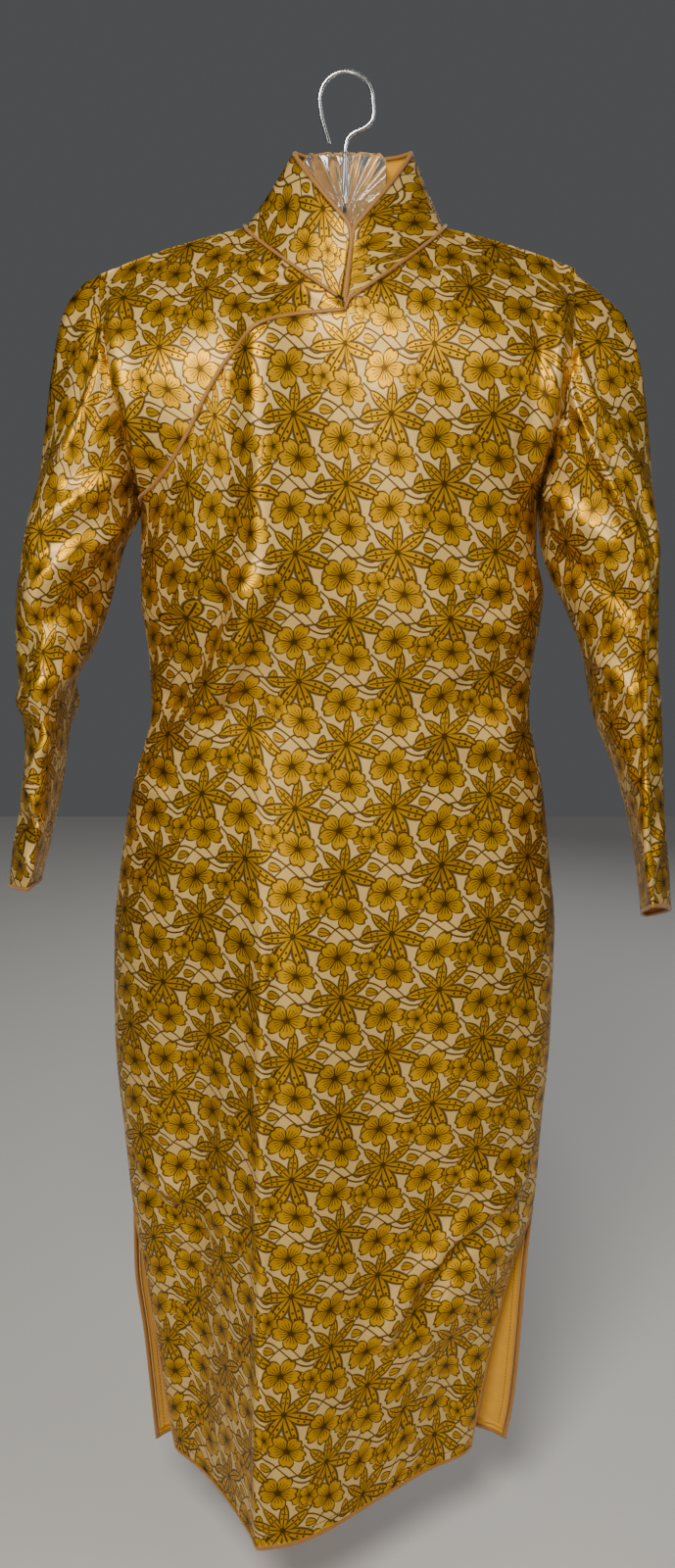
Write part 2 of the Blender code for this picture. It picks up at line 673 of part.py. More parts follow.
def add_neck_piping(base, panel_normals, trim):
    """A round piping that sits in the corner between the collar and the body."""
    collar_normals = outward(collar_grid(base))[0]
    ridge_top = np.abs(base[:, 0]) > NECK_HALF_WIDTH - 0.002
    panel_normals = np.where(ridge_top[:, None], (0.0, 0.0, 1.0), panel_normals)
    both = panel_normals + collar_normals
    half = np.linalg.norm(both, axis=1, keepdims=True) / 2
    path = base + unit(both) * (NECK_PIPING / 2 + 2 * SEAM) / half
    path = trim_ends(path, NECK_PIPING_START, 0.0)
    deep = np.array([np.interp(np.linspace(0, 1, len(path)), np.linspace(0, 1, len(base)), n)
                     for n in unit(both).T]).T
    wide, deep = square_up(path, deep)
    add_cord("neck_piping", path, wide, deep, (NECK_PIPING, NECK_PIPING), trim)


def add_edge_binding(name, grid, normals, counts, material):
    """A binding that wraps the slit edges and the hem: left edge, hem, right edge."""
    down, side = grid_steps(grid, False)
    left = np.arange(counts[0] + counts[1] + 1, len(grid))
    path = np.vstack([grid[left, 0], grid[-1, 1:-1], grid[left[::-1], -1]])
    deep = np.vstack([normals[left, 0], normals[-1, 1:-1], normals[left[::-1], -1]])
    off = np.vstack([-unit(side[left, 0]), unit(down[-1, 1:-1]), unit(side[left[::-1], -1])])
    corner = len(left) - 1
    for k in (corner, len(path) - 1 - corner):
        off[k] = off[k] + unit(down[-1, 0])
    path = path + off * (BINDING_WIDTH / 2 + SEAM) - deep * WALL / 2
    wide, deep = square_up(path, deep)
    add_cord(name, path, wide, deep, (BINDING_WIDTH, BINDING_THICKNESS), material)


def add_opening_piping(grid, normals, material):
    """Along the top left edge of the main front, from the neck to just short of the underarm."""
    middle = int(np.argmin(np.abs(grid[0, :, 0] - NECK_MIDDLE)))
    picked = slice(1, middle + 1)
    path = grid[0, picked]
    deep = normals[0, picked]
    wide, deep = square_up(path, deep)
    if wide[-1][2] < 0:
        wide = -wide
    path = path + wide * (PIPING_WIDTH / 2 + SEAM) + deep * OPENING_PIPING_LIFT
    path[-1] = path[-1] + unit(path[-2] - path[-1]) * OPENING_PIPING_STOP
    add_cord("opening_piping", path, wide, deep, (PIPING_WIDTH, PIPING_THICKNESS), material)


def add_lining(material):
    shares = spread(-LINING_SHARE, 14, LINING_SHARE)
    levels = np.linspace(LINING_TOP, LINING_BOTTOM, 9)
    share_grid = np.broadcast_to(shares, (len(levels), len(shares)))
    level_grid = np.broadcast_to(levels[:, None], share_grid.shape)
    grid = back_point(share_grid, level_grid)
    normals = grid_normals(grid, 1)
    outer = keep_back(grid - normals * LINING_DEPTH)
    inner = keep_back(grid - normals * (LINING_DEPTH + WALL))
    add_shell("back_lining", outer, inner, material)


def hook_path():
    cx, cz = HOOK_CENTRE
    tail = ((-0.0118, -0.0490), (-0.0150, -0.0395), (-0.0178, -0.0290))
    arc = [(cx - HOOK_RADIUS * math.cos(a), cz + HOOK_RADIUS * math.sin(a))
           for a in np.linspace(0, math.pi, 15)]
    neck = ((0.0213, -0.0270), (0.0196, -0.0335), (0.0140, -0.0378), (0.0070, -0.0408),
            (0.0022, -0.0450), (0.0004, -0.0510), (0.0000, -0.0580), (0.0000, SHANK_BOTTOM))
    return np.array([(x, 0.0, z) for x, z in (*tail, *arc, *neck)])


def add_hook(material):
    path = hook_path()
    deep = np.tile([0.0, 1.0, 0.0], (len(path), 1))
    wide, deep = square_up(path, deep)
    add_cord("hanger_hook", path, wide, deep, (2 * HOOK_WIRE, 2 * HOOK_WIRE), material, sides=10)


def hanger_loop(x):
    """One upright loop through the hanger: up the front face, then down the back face."""
    reach = abs(x)
    tip = float(smooth_step(np.array((reach - ARM_TIP_START) / ARM_TIP_LENGTH)))
    arm_middle = float(shoulder_level(np.array(x))) - ARM_DROP - ARM_TIP_DROP * tip
    plate = reach < PLATE_HALF_WIDTH + 0.0005
    chamfer = max(0.0, reach - PLATE_HALF_WIDTH + 0.005)
    plate_top = PLATE_TOP - chamfer - reach * reach * 1.2
    top = plate_top if plate else arm_middle + ARM_RADIUS
    bottom_blend = float(smooth_step(np.array(reach / PLATE_REACH)))
    bottom = PLATE_BOTTOM + (arm_middle - ARM_RADIUS - PLATE_BOTTOM) * bottom_blend
    taper_start = ARM_END - ARM_TAPER_LENGTH + 0.0005
    end = math.sqrt(max(0.05, 1 - max(0.0, (reach - taper_start) / ARM_TAPER_LENGTH) ** 2))
    if plate:
        heights = (bottom, bottom + ARM_SHARES[1] * (top - bottom), *PLATE_LEVELS, top)
    else:
        heights = tuple(bottom + (top - bottom) * share for share in ARM_SHARES)
    front, back = [], []
    for z in heights:
        share = (z - bottom) / (top - bottom)
        if plate:
            at_edge = z in (bottom, top)
            half = PLATE_HALF_THICKNESS * (PLATE_EDGE_SHARE if at_edge else 1.0)
            place = z
        else:
            round_part = max(0.25, math.sqrt(max(0.0, 1 - (2 * share - 1) ** 2)))
            half = ARM_RADIUS * round_part * end
            place = arm_middle + (z - arm_middle) * end
        in_socket = reach < SOCKET_HALF_WIDTH and z > SOCKET_BOTTOM
        front.append((x, -half, place))
        back.append((x, SOCKET_DEPTH_PLACE if in_socket else half, place))
    return front + back[::-1]


def add_hanger(material):
    stations = [-reach for reach in reversed(HANGER_STATIONS[1:])] + list(HANGER_STATIONS)
    loops = np.array([hanger_loop(x) for x in stations])
    count, size = loops.shape[:2]
    faces = []
    for k in range(count - 1):
        for a in range(size):
            b = (a + 1) % size
            faces.append((k * size + a, k * size + b, (k + 1) * size + b, (k + 1) * size + a))
    faces.append(tuple(reversed(range(size))))
    faces.append(tuple((count - 1) * size + a for a in range(size)))
    add_solid("hanger_body", loops.reshape(-1, 3), faces, material)


def main():
    for piece in list(bpy.data.objects):
        bpy.data.objects.remove(piece, do_unlink=True)
    cloth = add_material("satin_print", (0.66, 0.50, 0.20), roughness=0.42)
    trim = add_material("satin_piping", (0.50, 0.31, 0.11), roughness=0.45)
    lining = add_material("plain_lining", (0.62, 0.36, 0.06), roughness=0.50)
    clear = add_material("clear_plastic", (0.85, 0.86, 0.86), roughness=0.08, transmission=0.9)
    chrome = add_material("bright_wire", (0.80, 0.80, 0.80), metallic=1.0, roughness=0.12)

    front = front_grid()
    front_normals = grid_normals(front, -1)
    add_shell("front_panel", front, keep_front(front - front_normals * WALL), cloth)
    back = back_grid()
    back_normals = grid_normals(back, 1)
    add_shell("back_panel", back, keep_back(back - back_normals * WALL), cloth)
    underlap = underlap_grid()
    under_normals = grid_normals(underlap, -1)
    add_shell("front_underlap", underlap, keep_front(underlap - under_normals * WALL), cloth)

    back_armhole = slice(0, BACK_ROWS[0] + 1)
    left_loop = armhole_loop(underlap[:UNDERLAP_ROWS + 1, 0], back[back_armhole, 0], -1.0)
    right_loop = armhole_loop(front[:FRONT_ROWS[0] + 1, -1], back[back_armhole, -1], 1.0)
    add_sleeve("left", *left_loop, cloth, trim)
    add_sleeve("right", *right_loop, cloth, trim)

    left, behind, right = collar_base(underlap, front, back)
    base = np.vstack([underlap[0, left], back[0, behind], front[0, right]])
    panel_normals = np.vstack([under_normals[0, left], back_normals[0, behind],
                               front_normals[0, right]])
    add_collar(base, cloth, trim)
    add_neck_piping(base, panel_normals, trim)
    add_opening_piping(front, front_normals, trim)
    add_edge_binding("front_binding", front, front_normals, FRONT_ROWS, trim)
    add_edge_binding("back_binding", back, back_normals, BACK_ROWS, trim)
    add_lining(lining)
    add_hanger(clear)
    add_hook(chrome)


main()
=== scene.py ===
"""Looks for a cheongsam on a clear hanger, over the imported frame.

Metres, +Z up, front towards -Y, hook's inner top at the origin. Left and right are as seen
from the front. The cloth follows the same surfaces as the frame's solids, on finer grids.
"""
import math

import bpy
import numpy as np
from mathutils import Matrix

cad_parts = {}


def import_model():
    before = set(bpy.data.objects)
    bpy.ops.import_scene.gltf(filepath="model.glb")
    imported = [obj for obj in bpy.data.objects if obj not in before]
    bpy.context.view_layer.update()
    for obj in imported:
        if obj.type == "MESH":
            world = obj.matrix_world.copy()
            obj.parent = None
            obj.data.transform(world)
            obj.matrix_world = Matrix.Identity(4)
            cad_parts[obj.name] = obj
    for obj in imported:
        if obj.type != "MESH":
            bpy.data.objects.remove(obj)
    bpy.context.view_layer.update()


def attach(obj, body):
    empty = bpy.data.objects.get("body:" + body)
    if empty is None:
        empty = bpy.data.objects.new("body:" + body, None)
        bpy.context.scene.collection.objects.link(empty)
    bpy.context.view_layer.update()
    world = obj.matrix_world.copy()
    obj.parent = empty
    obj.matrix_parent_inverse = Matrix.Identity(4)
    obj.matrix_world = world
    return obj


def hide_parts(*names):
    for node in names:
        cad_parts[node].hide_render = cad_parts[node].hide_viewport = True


# Cloth layers and where the lining lies
WALL = 0.0012
COLLAR_WALL = 0.0015
SEAM = 0.0003
UNDERLAP_DEPTH = 0.0026
LINING_DEPTH = 0.0027
LINING_SHARE = 0.955
LINING_TOP = -0.880
LINING_BOTTOM = -1.146

# Neck, shoulders, armholes, slits, hem and trims
NECK_MIDDLE = 0.0
NECK_HALF_WIDTH = 0.076
NECK_SPARE = 0.002
SHOULDER_NECK_LEVEL = -0.1085
SHOULDER_FALL = 0.20
SHOULDER_CURVE = 0.90
SHOULDER_ROLL = 0.10
BACK_ROLL = 0.062
NECK_FRONT_DROP = 0.0625
NECK_FRONT_POWER = 0.85
NECK_BACK_DROP = 0.008
UNDERARM_LEVEL = -0.315
SLIT_LEVEL = -0.916
HEM_LEVEL = -1.157
SLIT_STEP = 0.006
SLIT_FLARE = 0.008
SLIT_FLARE_LENGTH = 0.24
ARMHOLE_HEIGHT = 0.173
CHEST_DIP = 0.105
OPENING_SETBACK = 0.0028
OPENING_NECK_LEVEL = -0.175
BINDING_WIDTH = 0.0044
BINDING_THICKNESS = 0.0024
PIPING_WIDTH = 0.0032
PIPING_THICKNESS = 0.0026
NECK_PIPING = 0.0026
NECK_PIPING_START = 0.0070
OPENING_PIPING_STOP = 0.0045
OPENING_PIPING_LIFT = 0.0002
FRONT_BOW = 0.046
BACK_BOW = 0.040

# Finer than the solids: columns and rows for each of theirs
ACROSS = 6
DOWN = 8

# Rows of each panel from its top to the chest line, on to the slit's top, and on to the hem
FRONT_ROWS = (8 * DOWN, 13 * DOWN, 8 * DOWN)
BACK_ROWS = (7 * DOWN, 12 * DOWN, 7 * DOWN)
UNDERLAP_ROWS = 8 * DOWN
UNDERLAP_LAP = 0.010
LAP_ROWS = 10
COLLAR_ROWS = 24
SLEEVE_RINGS = 117
SLEEVE_RING_POWER = 1.5
SLEEVE_SETTLE_SHARE = 0.40
SLEEVE_CALM_RINGS = 6.0
LINING_COLUMNS = 80
LINING_ROWS = 60

# Sections of the body by level
SECTION_COLUMNS = ("level", "front_left", "front_right", "back_left", "back_right",
                   "front_reach", "back_reach", "fullness")
SECTIONS = (
    (-0.090, -0.190, 0.182, -0.190, 0.182, 0.062, 0.048, 3.0),
    (-0.142, -0.188, 0.176, -0.188, 0.176, 0.063, 0.052, 3.0),
    (-0.220, -0.178, 0.168, -0.178, 0.168, 0.072, 0.056, 3.0),
    (-0.315, -0.162, 0.1535, -0.162, 0.1535, 0.076, 0.052, 2.8),
    (-0.350, -0.1625, 0.1530, -0.1625, 0.1530, 0.077, 0.050, 2.6),
    (-0.385, -0.1636, 0.1600, -0.1636, 0.1600, 0.077, 0.048, 2.4),
    (-0.440, -0.158, 0.1533, -0.158, 0.1533, 0.064, 0.040, 2.2),
    (-0.475, -0.1572, 0.151, -0.1572, 0.151, 0.058, 0.036, 2.1),
    (-0.541, -0.1744, 0.1634, -0.1744, 0.1634, 0.064, 0.042, 2.1),
    (-0.600, -0.1852, 0.171, -0.1852, 0.171, 0.072, 0.052, 2.1),
    (-0.672, -0.1942, 0.178, -0.1942, 0.178, 0.078, 0.058, 2.1),
    (-0.765, -0.1964, 0.177, -0.1964, 0.177, 0.074, 0.056, 2.0),
    (-0.846, -0.1914, 0.1718, -0.1914, 0.1718, 0.068, 0.052, 2.0),
    (-0.916, -0.1862, 0.168, -0.1862, 0.168, 0.062, 0.048, 2.0),
    (-0.978, -0.178, 0.1500, -0.1868, 0.1635, 0.055, 0.045, 2.0),
    (-1.046, -0.1685, 0.1346, -0.1805, 0.160, 0.048, 0.042, 2.0),
    (-1.113, -0.160, 0.1231, -0.1757, 0.1555, 0.042, 0.040, 2.0),
    (-1.157, -0.1535, 0.1163, -0.1727, 0.149, 0.039, 0.039, 2.0),
)

# The ridge that runs down the front, and the curved opening
RIDGE_LEFT_POWER = 1.6
RIDGE_COLUMNS = ("level", "across", "height", "left_width", "right_width")
RIDGE = (
    (-0.180, -0.060, 0.000, 0.045, 0.080),
    (-0.300, -0.060, 0.006, 0.045, 0.080),
    (-0.400, -0.063, 0.010, 0.045, 0.080),
    (-0.480, -0.064, 0.007, 0.045, 0.080),
    (-0.600, -0.066, 0.012, 0.055, 0.100),
    (-0.750, -0.068, 0.024, 0.070, 0.130),
    (-0.916, -0.070, 0.046, 0.078, 0.160),
    (-1.046, -0.071, 0.070, 0.077, 0.172),
    (-1.157, -0.0715, 0.088, 0.075, 0.175),
)

OPENING_COLUMNS = ("across", "level")
OPENING = (
    (-0.1625, -0.3160),
    (-0.1480, -0.3035),
    (-0.1331, -0.2885),
    (-0.1150, -0.2620),
    (-0.0985, -0.2310),
    (-0.0850, -0.2105),
    (-0.0691, -0.1945),
    (-0.0500, -0.1840),
    (-0.0300, -0.1780),
    (0.0000, -0.1748),
)

# Large folds, also in the solids
FOLD_FADE = 0.75
FOLD_COLUMNS = ("start_across", "start_level", "end_across", "end_level", "height", "half_width")
FRONT_FOLDS = (
    (-0.060, -0.365, -0.112, -0.500, 0.007, 0.022),
    (0.120, -0.385, 0.050, -0.385, 0.004, 0.020),
    (-0.120, -0.470, -0.050, -0.480, -0.004, 0.016),
    (0.125, -0.470, 0.050, -0.485, -0.004, 0.016),
    (0.140, -0.930, 0.035, -1.050, 0.010, 0.030),
    (-0.165, -0.905, -0.100, -0.935, 0.005, 0.018),
    (0.110, -1.020, 0.085, -1.150, -0.006, 0.024),
)
BACK_FOLDS = (
    (-0.060, -0.180, -0.085, -0.420, 0.006, 0.030),
    (0.065, -0.200, 0.080, -0.430, 0.005, 0.028),
    (-0.110, -0.470, -0.030, -0.485, -0.005, 0.018),
    (0.105, -0.468, 0.035, -0.480, -0.005, 0.018),
    (0.055, -0.640, 0.050, -1.150, 0.012, 0.040),
    (-0.080, -0.700, -0.095, -1.150, 0.010, 0.036),
)

# Sections of the hanging sleeves by level
SLEEVE_COLUMNS = ("level", "outer", "inner", "front_across", "front_reach", "back_across",
                  "back_reach", "pinch")
SLEEVE_LEFT = (
    (-0.141, -0.1880, -0.184, -0.195, -0.030, -0.192, 0.028, 1.0),
    (-0.150, -0.2033, -0.182, -0.198, -0.038, -0.195, 0.034, 1.0),
    (-0.172, -0.2189, -0.180, -0.203, -0.046, -0.199, 0.040, 1.0),
    (-0.2165, -0.2287, -0.174, -0.211, -0.054, -0.204, 0.043, 1.0),
    (-0.266, -0.2354, -0.169, -0.219, -0.060, -0.208, 0.045, 1.0),
    (-0.3136, -0.2437, -0.167, -0.225, -0.062, -0.211, 0.046, 1.0),
    (-0.350, -0.2510, -0.1804, -0.229, -0.062, -0.216, 0.046, 1.05),
    (-0.395, -0.2600, -0.1895, -0.232, -0.062, -0.222, 0.045, 1.1),
    (-0.431, -0.2616, -0.2029, -0.233, -0.062, -0.228, 0.044, 1.2),
    (-0.4566, -0.2608, -0.2190, -0.234, -0.062, -0.232, 0.043, 1.3),
    (-0.500, -0.2585, -0.2265, -0.235, -0.060, -0.237, 0.041, 1.4),
    (-0.550, -0.2640, -0.2359, -0.240, -0.060, -0.244, 0.039, 1.4),
    (-0.594, -0.2730, -0.2464, -0.248, -0.060, -0.255, 0.037, 1.4),
    (-0.636, -0.2780, -0.2580, -0.257, -0.060, -0.266, 0.035, 1.4),
)
SLEEVE_RIGHT = (
    (-0.141, 0.1760, 0.170, 0.182, -0.030, 0.180, 0.028, 1.0),
    (-0.154, 0.1932, 0.168, 0.186, -0.038, 0.184, 0.034, 1.0),
    (-0.174, 0.2151, 0.167, 0.194, -0.046, 0.189, 0.040, 1.0),
    (-0.203, 0.2270, 0.165, 0.203, -0.052, 0.195, 0.043, 1.0),
    (-0.256, 0.2363, 0.161, 0.214, -0.058, 0.200, 0.045, 1.0),
    (-0.3136, 0.2420, 0.1580, 0.222, -0.062, 0.204, 0.046, 1.0),
    (-0.345, 0.2432, 0.1595, 0.226, -0.062, 0.207, 0.046, 1.0),
    (-0.372, 0.2445, 0.1670, 0.227, -0.062, 0.211, 0.046, 1.05),
    (-0.3955, 0.2463, 0.178, 0.2278, -0.062, 0.216, 0.045, 1.1),
    (-0.436, 0.2495, 0.1925, 0.229, -0.062, 0.225, 0.044, 1.2),
    (-0.480, 0.2552, 0.2015, 0.231, -0.063, 0.233, 0.043, 1.3),
    (-0.530, 0.2588, 0.2222, 0.2338, -0.065, 0.243, 0.041, 1.4),
    (-0.565, 0.2615, 0.2333, 0.236, -0.067, 0.249, 0.039, 1.4),
    (-0.610, 0.2665, 0.2430, 0.2415, -0.070, 0.256, 0.036, 1.4),
    (-0.660, 0.2705, 0.2505, 0.249, -0.070, 0.262, 0.034, 1.4),
)
SLEEVES = {
    "left": {"rows": SLEEVE_LEFT, "side": -1.0, "cuff_level": -0.624, "cuff_tilt": 0.008},
    "right": {"rows": SLEEVE_RIGHT, "side": 1.0, "cuff_level": -0.646, "cuff_tilt": 0.020},
}

# Collar
COLLAR_FRONT_RISE = 0.052
COLLAR_BACK_RISE = 0.060
COLLAR_TOP_MIDDLE = 0.006
COLLAR_TOP_SHARE = 0.60
COLLAR_CORNER = 0.010
COLLAR_BACK_DEPTH = 0.034
COLLAR_TOP_FRONT = 0.70
COLLAR_TOP_BACK = 0.95
COLLAR_LEAN_POWER = 0.9

# Hanger: hook, arms and fan plate
HOOK_WIRE = 0.0015
HOOK_SIDES = 16
HOOK_STEPS = 6
HOOK_CENTRE = (0.0008, -0.0185)
HOOK_RADIUS = 0.0200
HOOK_TAIL = ((-0.0118, -0.0490), (-0.0150, -0.0395), (-0.0178, -0.0290))
HOOK_NECK = ((0.0213, -0.0270), (0.0196, -0.0335), (0.0140, -0.0378), (0.0070, -0.0408),
             (0.0022, -0.0450), (0.0004, -0.0510), (0.0000, -0.0580), (0.0000, -0.0980))
ARM_RADIUS = 0.0060
ARM_DROP = 0.0124
ARM_END = 0.188
ARM_TIP_DROP = 0.006
PLATE_TOP = -0.055
PLATE_HALF_WIDTH = 0.0315
PLATE_HALF_THICKNESS = 0.0040
PLATE_BOTTOM = -0.128
PLATE_REACH = 0.080
PLATE_EDGE_SHARE = 0.7
PLATE_EDGE_WIDTH = 0.003
PLATE_MARGIN = 0.0005
PLATE_CHAMFER = 0.005
PLATE_TOP_BOW = 1.2
PLATE_STATIONS = 56
ARM_TIP_START = 0.145
ARM_TIP_LENGTH = 0.040
ARM_TAPER_LENGTH = 0.0125
ARM_TAPER_MARGIN = 0.0005
ARM_LEAST_END = 0.05
ARM_LEAST_DEPTH = 0.25
ARM_STATIONS = 32
ARM_TIP_SPAN = 0.012
ARM_TIP_STATIONS = 9
HANGER_ROWS = 40
FAN_MIDDLE = (0.0, -0.0996)
FAN_RIDGES = 22
FAN_DEPTH = 0.0022
FAN_START = 0.004
FAN_GROWTH = 0.010

# Creases run from start to end, bowed to the viewer's left by bend where they run down.
# A height below zero is a trough. Widths are how far each side takes to die away.
CREASE_COLUMNS = ("start_across", "start_level", "end_across", "end_level", "bend", "height",
                  "left_width", "right_width")
FRONT_CREASES = (
    (-0.0635, -0.175, -0.0660, -0.376, 0.000, 0.0052, 0.012, 0.026),
    (-0.0660, -0.270, -0.0706, -0.358, 0.002, -0.0016, 0.004, 0.004),
    (-0.0631, -0.368, -0.1126, -0.478, -0.006, 0.0080, 0.026, 0.010),
    (-0.0850, -0.380, -0.1350, -0.470, -0.004, -0.0040, 0.012, 0.012),
    (0.0798, -0.3897, 0.1323, -0.3904, 0.000, -0.0020, 0.004, 0.006),
    (0.0700, -0.400, 0.1350, -0.412, 0.003, 0.0022, 0.010, 0.008),
    (0.0430, -0.5796, 0.0724, -0.5820, 0.000, -0.0008, 0.003, 0.003),
    (-0.1343, -0.4702, -0.1072, -0.4918, 0.002, 0.0026, 0.010, 0.006),
    (-0.1500, -0.4600, -0.1180, -0.4720, 0.002, -0.0022, 0.007, 0.007),
    (-0.1680, -0.5014, -0.1480, -0.5110, 0.000, 0.0016, 0.005, 0.005),
    (-0.1700, -0.5331, -0.1430, -0.5420, 0.002, 0.0018, 0.006, 0.005),
    (-0.1740, -0.5732, -0.1520, -0.5760, -0.001, 0.0014, 0.006, 0.006),
    (-0.1760, -0.6140, -0.1490, -0.6210, 0.001, 0.0013, 0.005, 0.007),
    (-0.1723, -0.8703, -0.0993, -0.8970, 0.004, 0.0032, 0.008, 0.012),
    (-0.1700, -0.8900, -0.1180, -0.9240, 0.004, -0.0026, 0.008, 0.010),
    (0.1560, -0.8800, 0.1021, -0.8673, 0.000, 0.0040, 0.009, 0.008),
    (0.1468, -0.8920, 0.0721, -0.9400, 0.006, 0.0048, 0.014, 0.009),
    (0.0780, -0.9340, 0.0308, -1.0110, 0.004, 0.0042, 0.016, 0.009),
    (0.1300, -0.9100, 0.0700, -0.9850, 0.008, -0.0036, 0.012, 0.012),
    (0.0601, -0.1431, 0.0779, -0.1342, 0.000, -0.0016, 0.004, 0.004),
    (0.0720, -0.1520, 0.0980, -0.1390, 0.000, 0.0014, 0.006, 0.006),
    (-0.0647, -0.1451, -0.0397, -0.1560, 0.000, -0.0014, 0.004, 0.004),
    (-0.1740, -0.1560, -0.1640, -0.2414, 0.003, 0.0022, 0.006, 0.008),
    (-0.1640, -0.2414, -0.1500, -0.3159, 0.002, 0.0026, 0.006, 0.008),
    (0.1630, -0.1560, 0.1560, -0.2060, -0.001, 0.0026, 0.008, 0.006),
    (0.1560, -0.2060, 0.1430, -0.2865, -0.002, 0.0032, 0.008, 0.006),
    (0.1480, -0.1700, 0.1360, -0.2900, -0.003, -0.0028, 0.010, 0.008),
    (0.0280, -0.2200, 0.0600, -0.3700, -0.010, 0.0016, 0.020, 0.024),
    (0.0900, -0.4500, 0.1450, -0.4650, 0.000, -0.0022, 0.010, 0.010),
    (0.0500, -0.4850, 0.1350, -0.5000, 0.003, 0.0018, 0.012, 0.012),
    (-0.0640, -0.6500, -0.0690, -1.1500, 0.000, 0.0028, 0.005, 0.007),
    (-0.1180, -0.7600, -0.1280, -1.1200, 0.004, -0.0030, 0.018, 0.018),
    (0.0200, -0.7400, 0.0120, -1.1400, -0.004, -0.0022, 0.030, 0.026),
    (0.0950, -0.6300, 0.1000, -0.8500, 0.004, 0.0018, 0.024, 0.030),
)
BACK_CREASES = (
    (-0.0500, -0.150, -0.0800, -0.330, 0.006, 0.0034, 0.016, 0.026),
    (0.0600, -0.160, 0.0850, -0.360, -0.006, 0.0030, 0.020, 0.014),
    (0.0050, -0.200, 0.0020, -0.420, 0.003, -0.0024, 0.024, 0.020),
    (-0.1400, -0.452, -0.0600, -0.470, 0.002, -0.0026, 0.008, 0.010),
    (-0.1500, -0.480, -0.0700, -0.497, -0.002, 0.0028, 0.010, 0.012),
    (0.1350, -0.448, 0.0400, -0.462, 0.003, -0.0030, 0.009, 0.011),
    (0.1450, -0.486, 0.0650, -0.498, 0.002, 0.0024, 0.012, 0.010),
    (-0.0720, -0.400, -0.0700, -0.560, 0.000, -0.0014, 0.004, 0.004),
    (0.0690, -0.405, 0.0700, -0.565, 0.000, -0.0014, 0.004, 0.004),
    (0.0200, -0.600, 0.0120, -1.140, 0.005, 0.0042, 0.026, 0.034),
    (-0.0350, -0.660, -0.0420, -1.140, 0.004, -0.0036, 0.026, 0.022),
    (0.1050, -0.720, 0.1150, -1.130, -0.004, -0.0034, 0.022, 0.026),
    (-0.1300, -0.760, -0.1380, -1.130, 0.004, 0.0028, 0.020, 0.018),
    (-0.1750, -0.880, -0.1100, -0.930, 0.004, 0.0030, 0.010, 0.012),
    (0.1580, -0.884, 0.0950, -0.940, 0.005, 0.0032, 0.012, 0.010),
    (-0.1680, -0.170, -0.1500, -0.300, 0.003, 0.0026, 0.008, 0.008),
    (0.1560, -0.170, 0.1420, -0.300, -0.003, 0.0028, 0.008, 0.008),
)
# Sleeve creases give the turn round the arm in degrees: 0 is outside, 90 the front, -90 the back.
TURN_COLUMNS = ("start_turn", "start_level", "end_turn", "end_level", "bend", "height",
                "left_width", "right_width")
SLEEVE_CREASES = {
    "left": (
        (30, -0.160, 44, -0.260, 0.002, -0.0022, 0.008, 0.008),
        (58, -0.170, 66, -0.290, 0.002, 0.0026, 0.009, 0.009),
        (130, -0.290, 60, -0.345, 0.003, 0.0030, 0.010, 0.012),
        (150, -0.330, 70, -0.390, 0.004, 0.0034, 0.010, 0.014),
        (160, -0.385, 40, -0.430, 0.004, -0.0030, 0.010, 0.010),
        (150, -0.440, 30, -0.470, 0.004, 0.0032, 0.010, 0.012),
        (110, -0.488, 62, -0.5305, 0.004, 0.0034, 0.008, 0.008),
        (62, -0.5305, 84, -0.556, -0.002, 0.0028, 0.006, 0.008),
        (120, -0.558, 20, -0.566, 0.002, -0.0032, 0.006, 0.006),
        (40, -0.575, 100, -0.600, 0.002, 0.0022, 0.006, 0.008),
        (-40, -0.180, -60, -0.320, 0.003, 0.0026, 0.010, 0.010),
        (-140, -0.300, -70, -0.360, 0.003, 0.0030, 0.010, 0.012),
        (-150, -0.400, -50, -0.440, 0.003, -0.0032, 0.010, 0.010),
        (-130, -0.470, -60, -0.510, 0.003, 0.0028, 0.009, 0.010),
    ),
    "right": (
        (88, -0.225, 92, -0.620, 0.001, 0.0036, 0.0045, 0.0045),
        (40, -0.165, 48, -0.240, 0.002, -0.0024, 0.008, 0.008),
        (70, -0.175, 66, -0.250, 0.002, 0.0028, 0.008, 0.009),
        (100, -0.180, 112, -0.260, 0.002, -0.0022, 0.008, 0.008),
        (150, -0.300, 104, -0.350, 0.003, 0.0028, 0.009, 0.012),
        (160, -0.350, 100, -0.400, 0.003, -0.0026, 0.010, 0.010),
        (60, -0.300, 64, -0.520, 0.003, -0.0034, 0.012, 0.010),
        (150, -0.430, 100, -0.470, 0.003, 0.0028, 0.009, 0.010),
        (130, -0.520, 70, -0.545, 0.003, 0.0022, 0.008, 0.009),
        (40, -0.560, 90, -0.600, 0.003, 0.0020, 0.008, 0.008),
        (-40, -0.180, -60, -0.320, 0.003, 0.0026, 0.010, 0.010),
        (-140, -0.320, -70, -0.380, 0.003, 0.0030, 0.010, 0.012),
        (-150, -0.420, -50, -0.460, 0.003, -0.0030, 0.010, 0.010),
    ),
}
# Arm radius that turns an angle into a length, how creases fade, and the shells' thickness
TURN_LENGTH = 0.047
CREASE_STRENGTH = 2.2
CREASE_REACH = 0.62
CREASE_FADE = 0.25
CREASE_CALM_POWER = 12
SHELL = 0.0010

# Half of the print's repeat across and up, and the stitches
PRINT_REPEAT = (0.040, 0.050)
STITCH_LENGTH = 0.0024
STITCH_GAP = 0.0012
STITCH_RADIUS = 0.00028
STITCH_SIDES = 6
STITCH_STATIONS = (0.0, 0.2, 0.8, 1.0)
STITCH_RISES = (-0.6, 0.7, 0.7, -0.6)

